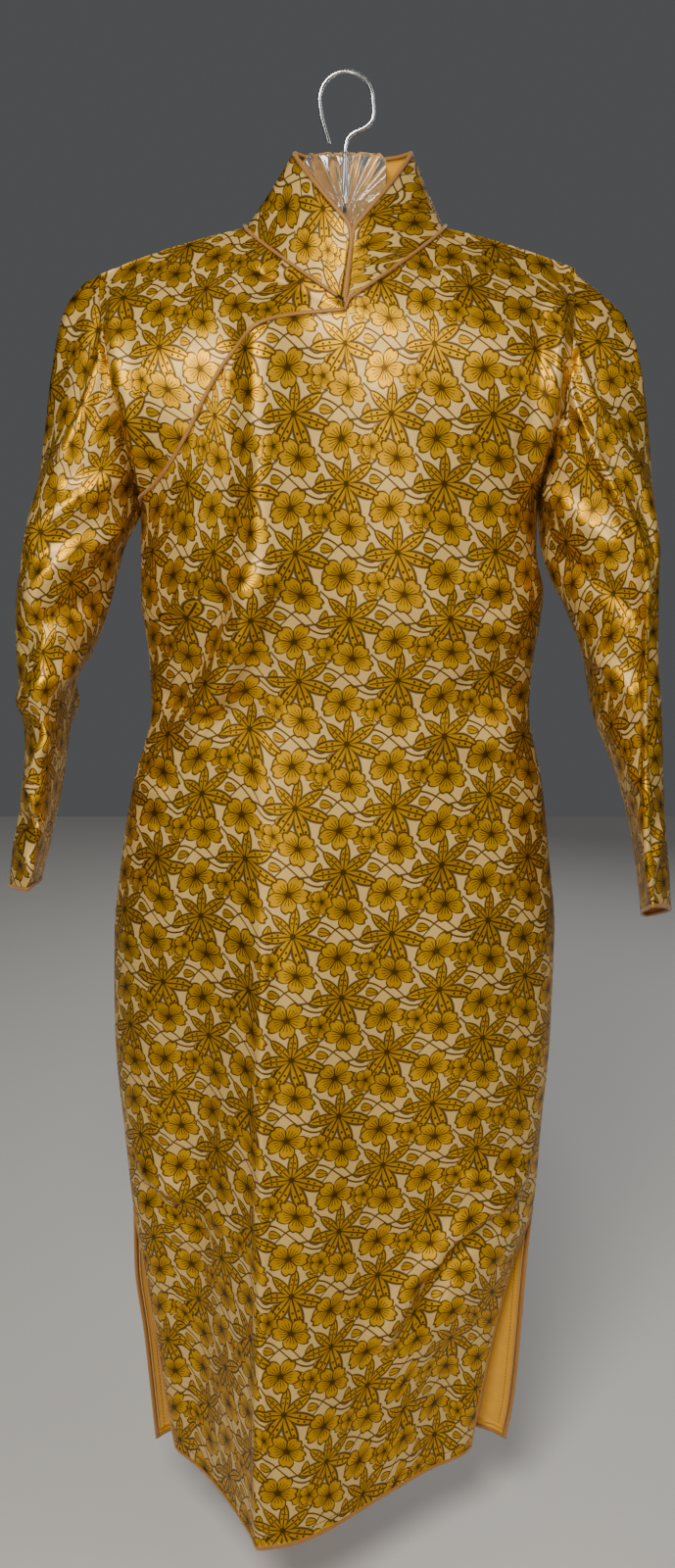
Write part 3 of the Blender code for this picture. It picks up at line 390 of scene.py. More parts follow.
# Colours, linear
SATIN_GROUND = (0.74, 0.485, 0.150)
SATIN_GOLD = (0.56, 0.275, 0.003)
# Lighter gold that the satin takes on the crumple's crests: painted sheen
SATIN_SHEEN_GOLD = (0.84, 0.45, 0.005)
SATIN_BROWN = (0.030, 0.012, 0.002)
PIPING_TAN = (0.42, 0.185, 0.030)
LINING_YELLOW = (0.86, 0.40, 0.008)
THREAD_BROWN = (0.085, 0.040, 0.012)
STEEL = (0.78, 0.79, 0.80)
STEEL_DARK = (0.62, 0.63, 0.64)
CLEAR_TINT = (0.96, 0.98, 0.98)
CLEAR_SHADE = (0.90, 0.93, 0.94)
FLOOR_GREY = (0.72, 0.71, 0.69)
FLOOR_SHADE = (0.68, 0.67, 0.65)
WORLD_COLOUR = (0.80, 0.82, 0.85, 1.0)
WORLD_STRENGTH = 0.10

# Camera, floor and soft lights
CAMERA_PLACE = (-0.0055, -1.10, -0.3155)
CAMERA_PITCH = 11.6
CAMERA_LENS = 31.19
SENSOR_WIDTH = 36.0
FLOOR_LEVEL = -1.26
FLOOR_HALF = 3.0
LIGHT_COLUMNS = ("name", "place", "target", "size", "energy", "colour")
LIGHTS = (
    ("key", (-0.35, -1.45, 0.65), (0.0, 0.0, -0.40), 0.7, 36.0, (1.0, 0.95, 0.85)),
    ("low front", (-0.30, -1.70, -0.95), (-0.06, 0.0, -0.9), 0.25, 3.5, (1.0, 0.98, 0.95)),
    ("fill", (1.7, -1.0, 0.2), (0.0, 0.0, -0.5), 1.0, 6.0, (1.0, 0.97, 0.93)),
    ("back", (0.6, 1.8, 0.5), (0.0, 0.0, -0.5), 1.4, 14.0, (1.0, 1.0, 1.0)),
)


def column(rows, names, name):
    place = names.index(name)
    return [row[place] for row in rows]


def eased(levels, values, at):
    """Smooth curve through a short table, without overshoot."""
    order = np.argsort(levels)
    x = np.asarray(levels, float)[order]
    y = np.asarray(values, float)[order]
    step = np.diff(x)
    rise = np.diff(y) / step
    slope = np.empty(len(x))
    slope[0], slope[-1] = rise[0], rise[-1]
    product = rise[:-1] * rise[1:]
    total = np.where(product > 0, rise[:-1] + rise[1:], 1.0)
    slope[1:-1] = np.where(product > 0, 2 * product / total, 0.0)
    at = np.clip(at, x[0], x[-1])
    k = np.clip(np.searchsorted(x, at) - 1, 0, len(x) - 2)
    t = (at - x[k]) / step[k]
    start = (1 + 2 * t) * (1 - t) ** 2 * y[k] + t * (1 - t) ** 2 * step[k] * slope[k]
    end = t ** 2 * (3 - 2 * t) * y[k + 1] - t ** 2 * (1 - t) * step[k] * slope[k + 1]
    return start + end


def section(name, level):
    return eased(column(SECTIONS, SECTION_COLUMNS, "level"),
                 column(SECTIONS, SECTION_COLUMNS, name), level)


def ridge(name, level):
    return eased(column(RIDGE, RIDGE_COLUMNS, "level"), column(RIDGE, RIDGE_COLUMNS, name), level)


def smooth_step(value):
    value = np.clip(value, 0.0, 1.0)
    return value * value * (3 - 2 * value)


def across(face, share, level):
    """How far across the body a share of the panel lies: -1 and 1 are the side seams."""
    left = section(face + "_left", level)
    right = section(face + "_right", level)
    bend = 0.8 * np.sin(np.pi * share / 2) + 0.2 * share
    return (left + right) / 2 + (right - left) / 2 * bend


def shoulder_level(x):
    out = np.abs(x - NECK_MIDDLE) - NECK_HALF_WIDTH
    curve = np.where(out > 0, SHOULDER_CURVE * out * out, 0.0)
    return SHOULDER_NECK_LEVEL - SHOULDER_FALL * out - curve


def armhole_bow(level):
    climb = np.clip((level - UNDERARM_LEVEL) / ARMHOLE_HEIGHT, 0.0, 1.0)
    return np.sin(np.pi * climb)


def fold_height(folds, x, level):
    """Soft ridges, or troughs where the height is negative, along short straight lines."""
    total = np.zeros(np.broadcast(x, level).shape)
    for row in folds:
        fold = dict(zip(FOLD_COLUMNS, row))
        start = np.array([fold["start_across"], fold["start_level"]])
        along = np.array([fold["end_across"], fold["end_level"]]) - start
        length = np.hypot(*along)
        along = along / length
        run = ((x - start[0]) * along[0] + (level - start[1]) * along[1]) / length
        off = (x - start[0]) * along[1] - (level - start[1]) * along[0]
        fade = smooth_step(1.0 - np.abs(run - 0.5) / FOLD_FADE)
        total = total + fold["height"] * fade * np.exp(-(off / fold["half_width"]) ** 2)
    return total


def ridge_height(x, level):
    off = x - ridge("across", level)
    left = np.clip(1 + off / ridge("left_width", level), 0, 1) ** RIDGE_LEFT_POWER
    right = np.cos(np.pi / 2 * np.clip(off / ridge("right_width", level), 0, 1)) ** 2
    return ridge("height", level) * np.where(off < 0, left, right)


def front_point(share, level):
    x = across("front", share, level)
    side = np.abs(share) ** section("fullness", level)
    drop = np.clip((shoulder_level(x) - level) / SHOULDER_ROLL, 0, 1)
    roll = 1 - (1 - drop) ** 2
    reach = section("front_reach", level) * (1 - side) * roll
    bow = FRONT_BOW * armhole_bow(level) * side
    calm = 1 - np.abs(share) ** 4
    folds = ridge_height(x, level) + fold_height(FRONT_FOLDS, x, level) * roll
    slit = smooth_step((SLIT_LEVEL - level) / SLIT_FLARE_LENGTH)
    y = -(SEAM / 2 + reach + bow + calm * folds + SLIT_FLARE * slit)
    return np.stack([x, y, level + np.zeros_like(x)], axis=-1)


def back_point(share, level):
    x = across("back", share, level)
    side = np.abs(share) ** section("fullness", level)
    drop = np.clip((shoulder_level(x) - level) / BACK_ROLL, 0, 1)
    roll = 1 - (1 - drop) ** 2
    reach = section("back_reach", level) * (1 - side) * roll
    bow = BACK_BOW * armhole_bow(level) * side
    calm = 1 - np.abs(share) ** 4
    y = SEAM / 2 + reach + bow + calm * roll * fold_height(BACK_FOLDS, x, level)
    return np.stack([x, y, level + np.zeros_like(x)], axis=-1)


def neck_share(x):
    return np.clip(np.abs(x - NECK_MIDDLE) / NECK_HALF_WIDTH, 0, 1)


def front_neck_level(x):
    return SHOULDER_NECK_LEVEL - NECK_FRONT_DROP * (1 - neck_share(x)) ** NECK_FRONT_POWER


def back_neck_level(x):
    return SHOULDER_NECK_LEVEL - NECK_BACK_DROP * (1 - neck_share(x) ** 2)


def opening_level(x):
    return eased(column(OPENING, OPENING_COLUMNS, "across"),
                 column(OPENING, OPENING_COLUMNS, "level"), x)


def top_of_front(x):
    inside = np.where(x < NECK_MIDDLE, opening_level(x) - OPENING_SETBACK, front_neck_level(x))
    return np.where(x > NECK_HALF_WIDTH, shoulder_level(x), inside)


def top_of_underlap(x):
    return np.where(x < -NECK_HALF_WIDTH, shoulder_level(x), front_neck_level(x))


def top_of_back(x):
    return np.where(np.abs(x) > NECK_HALF_WIDTH, shoulder_level(x), back_neck_level(x))


def share_at(face, x, level):
    """The share whose place across the panel is x at this level."""
    shares = np.linspace(-1, 1, 801)
    return float(np.interp(x, across(face, shares, np.full(801, level)), shares))


def meet(face, shares, top):
    """Levels where the upright lines of a panel meet its top edge."""
    level = np.full(len(shares), -0.2)
    for _ in range(40):
        level = top(across(face, shares, level))
    return level


def spread(*knots):
    """Steps between knots: value, count, value, count, value and so on."""
    out = [knots[0]]
    for start, count, end in zip(knots[0::2], knots[1::2], knots[2::2]):
        out.extend(start + (end - start) * k / count for k in range(1, count + 1))
    return np.array(out)


def edge_share(surface, level, side):
    """The share that lies a binding's width short of the panel's edge."""
    shares = side * np.linspace(1.0, 0.7, 31)
    line = surface(shares, np.full(31, level))
    lengths = np.concatenate([[0], np.cumsum(np.linalg.norm(np.diff(line, axis=0), axis=1))])
    return float(np.interp(BINDING_WIDTH + 3 * SEAM, lengths, np.abs(shares)))


def slit_trim(surface, levels, shares):
    """Below the slit's top a panel stops short of its edge to leave room for the binding."""
    trimmed = np.broadcast_to(shares, levels.shape).copy()
    for row in range(len(levels)):
        level = levels[row, 0]
        if level < SLIT_LEVEL - 0.001:
            left = edge_share(surface, level, -1.0)
            right = edge_share(surface, level, 1.0)
            trimmed[row] = np.where(shares < 0, shares * left, shares * right)
    return trimmed


def panel_levels(tops, shares, chest_levels, counts):
    """Row levels for every column: three blocks, split at the chest line and the slit's top."""
    chest_count, body_count, skirt_count = counts
    hem = HEM_LEVEL + BINDING_WIDTH + SEAM
    rows = [tops + (chest_levels - tops) * k / chest_count for k in range(chest_count)]
    for k in range(body_count):
        rows.append(chest_levels + (SLIT_LEVEL - chest_levels) * k / body_count)
    rows.append(np.full(len(shares), SLIT_LEVEL))
    below = SLIT_LEVEL - SLIT_STEP
    for k in range(skirt_count + 1):
        rows.append(np.full(len(shares), below + (hem - below) * k / skirt_count))
    return np.array(rows)


def unit(vectors):
    return vectors / np.maximum(np.linalg.norm(vectors, axis=-1, keepdims=True), 1e-12)


def grid_steps(grid, closed):
    down = np.gradient(grid, axis=0)
    if closed:
        side = (np.roll(grid, -1, axis=1) - np.roll(grid, 1, axis=1)) / 2
    else:
        side = np.gradient(grid, axis=1)
    return down, side


def grid_normals(grid, facing, closed=False):
    down, side = grid_steps(grid, closed)
    return facing * unit(np.cross(side, down))


def square_up(path, deep, closed=False):
    """Directions across a cord, square to its run and to the depth direction."""
    if closed:
        run = np.roll(path, -1, axis=0) - np.roll(path, 1, axis=0)
    else:
        run = np.gradient(path, axis=0)
    wide = unit(np.cross(unit(run), deep))
    return wide, unit(np.cross(wide, unit(run)))


def front_grid():
    neck = share_at("front", NECK_HALF_WIDTH, SHOULDER_NECK_LEVEL)
    middle = share_at("front", NECK_MIDDLE, OPENING_NECK_LEVEL)
    shares = spread(-1, 12 * ACROSS, middle, 4 * ACROSS, neck, 6 * ACROSS, 1)
    tops = meet("front", shares, top_of_front)
    chest = UNDERARM_LEVEL - CHEST_DIP * smooth_step((1 - shares) / 2)
    levels = panel_levels(tops, shares, chest, FRONT_ROWS)
    return front_point(slit_trim(front_point, levels, shares), levels)


def back_grid():
    neck_right = share_at("back", NECK_HALF_WIDTH, SHOULDER_NECK_LEVEL)
    neck_left = share_at("back", -NECK_HALF_WIDTH, SHOULDER_NECK_LEVEL)
    shares = spread(-1, 6 * ACROSS, neck_left, 8 * ACROSS, neck_right, 6 * ACROSS, 1)
    tops = meet("back", shares, top_of_back)
    chest = np.full(len(shares), UNDERARM_LEVEL)
    levels = panel_levels(tops, shares, chest, BACK_ROWS)
    return back_point(slit_trim(back_point, levels, shares), levels)


def underlap_grid():
    """The under front: its last two rows run on under the main front."""
    neck = share_at("front", -NECK_HALF_WIDTH, SHOULDER_NECK_LEVEL)
    middle = share_at("front", NECK_MIDDLE, OPENING_NECK_LEVEL)
    shares = spread(-1, 6 * ACROSS, neck, 5 * ACROSS, middle)
    tops = meet("front", shares, top_of_underlap)
    curve = meet("front", shares, opening_level)
    inside = 1 + np.clip(shares, -1, 0)
    seam = np.where(shares > -1, curve - UNDERLAP_LAP * inside, UNDERARM_LEVEL)
    rows = [tops + (seam - tops) * k / UNDERLAP_ROWS for k in range(UNDERLAP_ROWS)]
    rows.extend(seam - 2 * UNDERLAP_LAP * k / LAP_ROWS for k in range(LAP_ROWS + 1))
    levels = np.array(rows)
    grid = front_point(np.broadcast_to(shares, levels.shape), levels)
    depth = UNDERLAP_DEPTH * smooth_step(np.arange(len(levels)) / (3.0 * DOWN))
    return keep_front(grid - grid_normals(grid, -1) * depth[:, None, None])


def keep_front(points):
    points = points.copy()
    points[..., 1] = np.minimum(points[..., 1], -SEAM / 2)
    return points


def keep_back(points):
    points = points.copy()
    points[..., 1] = np.maximum(points[..., 1], SEAM / 2)
    return points


def armhole_loop(front_edge, back_edge, side):
    """One loop round the armhole: shoulder, down the front, underarm, up the back."""
    shoulder = back_edge[0] * (1, 0, 1)
    under = back_edge[-1] * (1, 0, 1)
    loop = np.vstack([shoulder[None], front_edge[1:-1], under[None], back_edge[-2:0:-1]])
    loop[:, 0] += side * SEAM
    return loop, len(front_edge) - 1, len(back_edge) - 1


def sleeve_value(rows, name, level):
    return eased(column(rows, SLEEVE_COLUMNS, "level"), column(rows, SLEEVE_COLUMNS, name), level)


def sleeve_section(rows, turn, level):
    """A point of the hanging sleeve: turn 0 is outside, a quarter is the front crease."""
    outer = sleeve_value(rows, "outer", level)
    inner = sleeve_value(rows, "inner", level)
    front_x = sleeve_value(rows, "front_across", level)
    back_x = sleeve_value(rows, "back_across", level)
    front_y = sleeve_value(rows, "front_reach", level)
    back_y = sleeve_value(rows, "back_reach", level)
    pinch = sleeve_value(rows, "pinch", level)
    middle_x = (outer + inner) / 2
    middle_y = (front_y + back_y) / 2
    swing = np.cos(turn)
    out = np.abs(swing) ** pinch * np.sign(swing)
    ahead = np.clip(np.sin(turn), 0, 1)
    behind = np.clip(-np.sin(turn), 0, 1)
    x = (middle_x + (outer - middle_x) * out
         + (front_x - middle_x) * ahead ** 2 + (back_x - middle_x) * behind ** 2)
    y = middle_y + (front_y - middle_y) * ahead + (back_y - middle_y) * behind
    return np.stack([x, y, level], axis=-1)


def sleeve_turns(front_steps, back_steps):
    """Turns round the arm: down the front half, then up the back half."""
    return np.concatenate([np.pi * np.arange(front_steps) / front_steps,
                           np.pi + np.pi * np.arange(back_steps) / back_steps])


def sleeve_grid(which, loop, turn):
    plan = SLEEVES[which]
    start = loop[:, 2]
    end = plan["cuff_level"] + plan["cuff_tilt"] * np.sin(turn) + PIPING_WIDTH
    miss = loop - sleeve_section(plan["rows"], turn, start)
    grid = []
    for ring in range(SLEEVE_RINGS + 1):
        share = (ring / SLEEVE_RINGS) ** SLEEVE_RING_POWER
        level = start + (end - start) * share
        fade = 1 - smooth_step(share / SLEEVE_SETTLE_SHARE)
        grid.append(sleeve_section(plan["rows"], turn, level) + miss * fade)
    return np.array(grid)


def collar_base(underlap, front, back):
    """The neck seam from the centre front, round the left, the back and the right."""
    inside = NECK_HALF_WIDTH - NECK_SPARE
    left = [k for k, x in enumerate(underlap[0, :, 0]) if x > -inside]
    behind = [k for k, x in enumerate(back[0, :, 0]) if abs(x) < NECK_HALF_WIDTH + NECK_SPARE]
    right = [k for k, x in enumerate(front[0, :, 0]) if NECK_MIDDLE - 0.001 < x < inside]
    return left[::-1], behind, right[::-1]


def trim_ends(path, start, end):
    """Shorten a path at both of its ends by the given lengths."""
    lengths = np.concatenate([[0], np.cumsum(np.linalg.norm(np.diff(path, axis=0), axis=1))])
    total = lengths[-1]
    kept = [k for k in range(len(path)) if start < lengths[k] < total - end]
    ends = [np.array([np.interp(at, lengths, path[:, axis]) for axis in range(3)])
            for at in (start, total - end)]
    return np.vstack([ends[0][None], path[kept], ends[1][None]])


def collar_grid(base):
    """Rows climb from the neck seam to the top edge; the front corners are rounded."""
    lengths = np.concatenate([[0], np.cumsum(np.linalg.norm(np.diff(base, axis=0), axis=1))])
    total = lengths[-1]
    behind = smooth_step(np.clip(base[:, 1] / COLLAR_BACK_DEPTH, 0, 1))
    rise = COLLAR_FRONT_RISE + (COLLAR_BACK_RISE - COLLAR_FRONT_RISE) * behind
    near = np.minimum(lengths, total - lengths) / COLLAR_CORNER
    corner = 1 - np.sqrt(np.clip(1 - np.clip(1 - near, 0, 1) ** 2, 0, 1))
    rise_here = rise - COLLAR_CORNER * corner
    top_x = COLLAR_TOP_MIDDLE + base[:, 0] * COLLAR_TOP_SHARE
    top_y = base[:, 1] * np.where(base[:, 1] < 0, COLLAR_TOP_FRONT, COLLAR_TOP_BACK)
    rows = []
    for share in np.linspace(0.0, 1.0, COLLAR_ROWS + 1):
        climb = share * rise_here / rise
        lean = climb ** COLLAR_LEAN_POWER
        x = base[:, 0] + (top_x - base[:, 0]) * lean
        y = base[:, 1] + (top_y - base[:, 1]) * lean
        rows.append(np.stack([x, y, base[:, 2] + SEAM + climb * rise], axis=-1))
    return np.array(rows)


def outward(grid):
    normals = grid_normals(grid, 1)
    middle = np.array([0.0, 0.0, -0.11])
    return normals if np.sum(normals * (grid - middle)) > 0 else -normals


def hook_path():
    cx, cz = HOOK_CENTRE
    arc = [(cx - HOOK_RADIUS * math.cos(a), cz + HOOK_RADIUS * math.sin(a))
           for a in np.linspace(0, math.pi, 15)]
    return np.array([(x, 0.0, z) for x, z in (*HOOK_TAIL, *arc, *HOOK_NECK)])


def crease_height(rows, names, across_place, level):
    """Sum of soft creases at places given by a distance across and a level."""
    total = np.zeros(np.broadcast(across_place, level).shape)
    for row in rows:
        crease = dict(zip(names, row))
        start = np.array([crease[names[0]], crease["start_level"]])
        run_vector = np.array([crease[names[2]], crease["end_level"]]) - start
        length = np.hypot(*run_vector)
        along = run_vector / length
        run = ((across_place - start[0]) * along[0] + (level - start[1]) * along[1]) / length
        off = (across_place - start[0]) * along[1] - (level - start[1]) * along[0]
        inside = np.clip(run, 0, 1)
        off = off - crease["bend"] * 4 * inside * (1 - inside)
        width = np.where(off > 0, crease["left_width"], crease["right_width"])
        fade = smooth_step((CREASE_REACH - np.abs(run - 0.5)) / CREASE_FADE)
        total = total + crease["height"] * fade * np.exp(-(off / width) ** 2)
    return total


def sleeve_creases(which, turn, level):
    rows = [(math.radians(a) * TURN_LENGTH, b, math.radians(c) * TURN_LENGTH, d, *rest)
            for a, b, c, d, *rest in SLEEVE_CREASES[which]]
    around = np.where(turn > np.pi, turn - 2 * np.pi, turn) * TURN_LENGTH
    return crease_height(rows, TURN_COLUMNS, around[None, :], level)


def lengths_along(points, axis):
    """Distance walked along one axis of a grid, from its first point."""
    steps = np.linalg.norm(np.diff(points, axis=axis), axis=-1)
    start = np.zeros_like(np.take(points[..., 0], [0], axis=axis))
    return np.concatenate([start, np.cumsum(steps, axis=axis)], axis=axis)


def panel_places(grid, middle_column, level_row):
    """Flat cloth coordinates of a panel in metres: across from a column, and up from a level."""
    run = lengths_along(grid, 1)
    run = run - run[:, middle_column:middle_column + 1]
    drop = lengths_along(grid, 0)
    climb = grid[level_row, :, 2][None, :] - (drop - drop[level_row][None, :])
    return np.stack([run, climb], axis=-1)


def tube_places(grid, seam_column):
    """Flat coordinates of a sleeve, opened along one column; left and right edge of each face."""
    ring = np.concatenate([grid, grid[:, :1]], axis=1)
    run = lengths_along(ring, 1)
    total = run[:, -1:]
    columns = np.arange(run.shape[1])
    drop = lengths_along(ring, 0)
    climb = drop[-1:] - drop
    left_run = np.where(columns[None, :] >= seam_column, run - total, run)
    right_run = np.where(columns[None, :] > seam_column, run - total, run)
    left = np.stack([left_run, climb], axis=-1)[:, :-1]
    right = np.stack([right_run, climb], axis=-1)[:, 1:]
    return left, right


def add_mesh(name, points, faces, uvs, slots, materials):
    mesh = bpy.data.meshes.new(name)
    mesh.from_pydata(points.tolist(), [], faces)
    layer = mesh.uv_layers.new(name="Cloth")
    layer.data.foreach_set("uv", np.asarray(uvs, dtype=np.float32).ravel())
    for material in materials:
        mesh.materials.append(material)
    mesh.polygons.foreach_set("material_index", slots)
    mesh.polygons.foreach_set("use_smooth", [True] * len(faces))
    mesh.validate()
    mesh.update()
    piece = bpy.data.objects.new(name, mesh)
    bpy.context.scene.collection.objects.link(piece)
    return piece


def add_shell(name, outer, inner, places, materials, closed=False):
    """A thin closed sheet. The outer side takes the first material, the rest the second."""
    rows, columns = outer.shape[:2]
    span = columns if closed else columns - 1
    left, right = places if closed else (places[:, :-1], places[:, 1:])
    row = np.arange(rows - 1)[:, None]
    first = np.arange(span)[None, :]
    second = (first + 1) % columns
    quad = np.stack([row * columns + first, row * columns + second,
                     (row + 1) * columns + second, (row + 1) * columns + first], axis=-1)
    uv = np.stack([left[:-1], right[:-1], right[1:], left[1:]], axis=2)
    a, b, d = (outer.reshape(-1, 3)[quad[..., k]] for k in (0, 1, 3))
    facing = np.cross(b - a, d - a)
    turned = np.sum(facing * (outer - inner)[:-1, :span]) < 0
    if turned:
        quad, uv = quad[..., ::-1], uv[:, :, ::-1]
    count = rows * columns
    faces = quad.reshape(-1, 4).tolist() + (quad[..., ::-1] + count).reshape(-1, 4).tolist()
    uvs = [uv.reshape(-1, 2), uv[:, :, ::-1].reshape(-1, 2)]
    rims = []
    for line in rim_lines(rows, columns, closed):
        for start, end in zip(line[:-1], line[1:]):
            rims.append([start, start + count, end + count, end])
    flat = np.zeros((len(rims) * 4, 2))
    if not turned:
        rims = [list(reversed(rim)) for rim in rims]
    faces.extend(rims)
    slots = [0] * (quad.size // 4) + [1] * (quad.size // 4 + len(rims))
    points = np.concatenate([outer.reshape(-1, 3), inner.reshape(-1, 3)])
    return add_mesh(name, points, faces, np.concatenate([*uvs, flat]), slots, materials)


def rim_lines(rows, columns, closed):
    """Corner numbers along the open edges of a grid, all in the same sense."""
    top = list(range(columns))
    bottom = [(rows - 1) * columns + c for c in range(columns)]
    if closed:
        return [top + [0], (bottom + [bottom[0]])[::-1]]
    left = [r * columns for r in range(rows)]
    right = [r * columns + columns - 1 for r in range(rows)]
    return [top, right, bottom[::-1], left[::-1]]


def add_tube(name, path, wide, deep, widths, material, closed=False, sides=10):
    """A cord with an oval section swept along a path; wide and deep are unit directions."""
    angles = 2 * np.pi * (np.arange(sides) + 0.5) / sides
    radii = np.broadcast_to(np.asarray(widths, float) / 2, (len(path), 2))
    ring = (np.cos(angles)[None, :, None] * radii[:, None, :1] * wide[:, None, :]
            + np.sin(angles)[None, :, None] * radii[:, None, 1:] * deep[:, None, :])
    points = path[:, None, :] + ring
    count = len(path)
    run = lengths_along(np.concatenate([path, path[:1]]) if closed else path, 0)
    girth = np.pi * np.mean(radii)
    faces, uvs = [], []
    for k in range(count if closed else count - 1):
        here, ahead = k * sides, (k + 1) % count * sides
        for a in range(sides):
            b = (a + 1) % sides
            faces.append((here + a, here + b, ahead + b, ahead + a))
            low, high = girth * 2 * a / sides, girth * 2 * (a + 1) / sides
            uvs.extend([(low, run[k]), (high, run[k]), (high, run[k + 1]), (low, run[k + 1])])
    if not closed:
        faces.append(tuple(reversed(range(sides))))
        faces.append(tuple((count - 1) * sides + a for a in range(sides)))
        uvs.extend([(0.0, 0.0)] * (2 * sides))
    flat = points.reshape(-1, 3)
    a, b, d = (flat[faces[0][k]] for k in (0, 1, 3))
    if np.dot(np.cross(b - a, d - a), a - path[0]) < 0:
        faces = [tuple(reversed(face)) for face in faces]
        uvs = reversed_corners(uvs, faces)
    return add_mesh(name, flat, faces, uvs, [0] * len(faces), [material])


def reversed_corners(uvs, faces):
    out, start = [], 0
    for face in faces:
        out.extend(reversed(uvs[start:start + len(face)]))
        start += len(face)
    return out


def smooth_path(points, steps):
    """A rounded curve through points, with a number of steps between each two."""
    ends = np.vstack([2 * points[0] - points[1], points, 2 * points[-1] - points[-2]])
    out = []
    for k in range(1, len(ends) - 2):
        before, start, end, after = ends[k - 1:k + 3]
        for t in np.arange(steps) / steps:
            out.append(0.5 * (2 * start + (end - before) * t
                              + (2 * before - 5 * start + 4 * end - after) * t ** 2
                              + (3 * start - before - 3 * end + after) * t ** 3))
    out.append(points[-1])
    return np.array(out)


def settle(piece, slot, *nodes):
    """Ride on the only body and stand for the frame's nodes; the slot is not used."""
    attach(piece, "root")
    if nodes:
        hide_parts(*nodes)


class Nodes:
    """Short calls for a node tree; each gives back the new node's first output."""

    def __init__(self, tree):
        self.tree = tree

    def node(self, kind, **settings):
        node = self.tree.nodes.new(kind)
        for key, value in settings.items():
            setattr(node, key, value)
        return node

    def feed(self, node, *values):
        for socket, value in zip(node.inputs, values):
            if isinstance(value, bpy.types.NodeSocket):
                self.tree.links.new(value, socket)
            elif value is not None:
                socket.default_value = value
        return node.outputs[0]

    def math(self, operation, *values, clamp=False):
        node = self.node("ShaderNodeMath", operation=operation, use_clamp=clamp)
        return self.feed(node, *values)

    def vector(self, operation, *values):
        node = self.node("ShaderNodeVectorMath", operation=operation)
        self.feed(node, *values)
        return node.outputs["Value" if operation in ("LENGTH", "DOT_PRODUCT") else "Vector"]

    def split(self, vector):
        node = self.node("ShaderNodeSeparateXYZ")
        self.feed(node, vector)
        return node.outputs[0], node.outputs[1]

    def join(self, x, y, z=0.0):
        return self.feed(self.node("ShaderNodeCombineXYZ"), x, y, z)

    def band(self, value, half_width):
        """1 on the zero of the value, falling to 0 a half width away."""
        away = self.math("DIVIDE", self.math("ABSOLUTE", value), half_width)
        return self.math("SUBTRACT", 1.0, away, clamp=True)

    def inside(self, value, soft):
        """0 below zero, rising to 1 at soft."""
        return self.math("DIVIDE", value, soft, clamp=True)

    def length(self, x, y):
        squares = self.math("ADD", self.math("MULTIPLY", x, x), self.math("MULTIPLY", y, y))
        return self.math("SQRT", squares)

    def output(self, sockets, *values):
        for socket, value in zip(sockets, values):
            self.tree.links.new(value, socket)
        return self.tree

    def blend(self, share, low, high):
        node = self.node("ShaderNodeMix", data_type="RGBA")
        for socket, value in ((node.inputs[0], share), (node.inputs[6], low), (node.inputs[7], high)):
            if isinstance(value, bpy.types.NodeSocket):
                self.tree.links.new(value, socket)
            elif isinstance(value, tuple):
                socket.default_value = (*value, 1.0)
            else:
                socket.default_value = value
        return node.outputs[2]


def new_group(name, inputs, outputs):
    tree = bpy.data.node_groups.new(name, "ShaderNodeTree")
    for label, kind in inputs:
        tree.interface.new_socket(label, in_out="INPUT", socket_type=kind)
    for label in outputs:
        tree.interface.new_socket(label, in_out="OUTPUT", socket_type="NodeSocketFloat")
    nodes = Nodes(tree)
    return nodes, nodes.node("NodeGroupInput").outputs, nodes.node("NodeGroupOutput").inputs


MOTIF_INPUTS = (("Place", "NodeSocketVector"), ("Middle", "NodeSocketVector"),
                ("Turn", "NodeSocketFloat"), ("Size", "NodeSocketFloat"),
                ("Squash", "NodeSocketFloat"))
# Dark dots of a leaf's lobes: share of the lobe's length, and how far aside
LEAF_DOTS = ((0.44, 0.075), (0.62, 0.065))


def motif_place(nodes, given):
    """The place measured from the nearest repeat of the motif, turned, and 1 at its edge."""
    off = nodes.vector("SUBTRACT", given["Place"], given["Middle"])
    x, y = nodes.split(off)
    half_x = nodes.math("DIVIDE", x, 2 * PRINT_REPEAT[0])
    half_y = nodes.math("DIVIDE", y, 2 * PRINT_REPEAT[1])
    first = nodes.math("ADD", half_x, half_y)
    second = nodes.math("SUBTRACT", half_x, half_y)
    first = nodes.math("SUBTRACT", first, nodes.math("ROUND", first))
    second = nodes.math("SUBTRACT", second, nodes.math("ROUND", second))
    x = nodes.math("MULTIPLY", nodes.math("ADD", first, second), PRINT_REPEAT[0])
    y = nodes.math("MULTIPLY", nodes.math("SUBTRACT", first, second), PRINT_REPEAT[1])
    spin = nodes.node("ShaderNodeVectorRotate", rotation_type="Z_AXIS")
    nodes.tree.links.new(nodes.join(x, y), spin.inputs["Vector"])
    nodes.tree.links.new(given["Turn"], spin.inputs["Angle"])
    x, y = nodes.split(spin.outputs[0])
    x = nodes.math("DIVIDE", x, given["Size"])
    y = nodes.math("DIVIDE", nodes.math("DIVIDE", y, given["Size"]), given["Squash"])
    return x, y, nodes.length(x, y), nodes.math("ARCTAN2", y, x)


def folded(nodes, angle, count):
    """The nearest of evenly turned spokes, as its own angle, and the angle away from it."""
    turn = 2 * math.pi / count
    spoke = nodes.math("MULTIPLY", nodes.math("ROUND", nodes.math("DIVIDE", angle, turn)), turn)
    return spoke, nodes.math("SUBTRACT", angle, spoke)


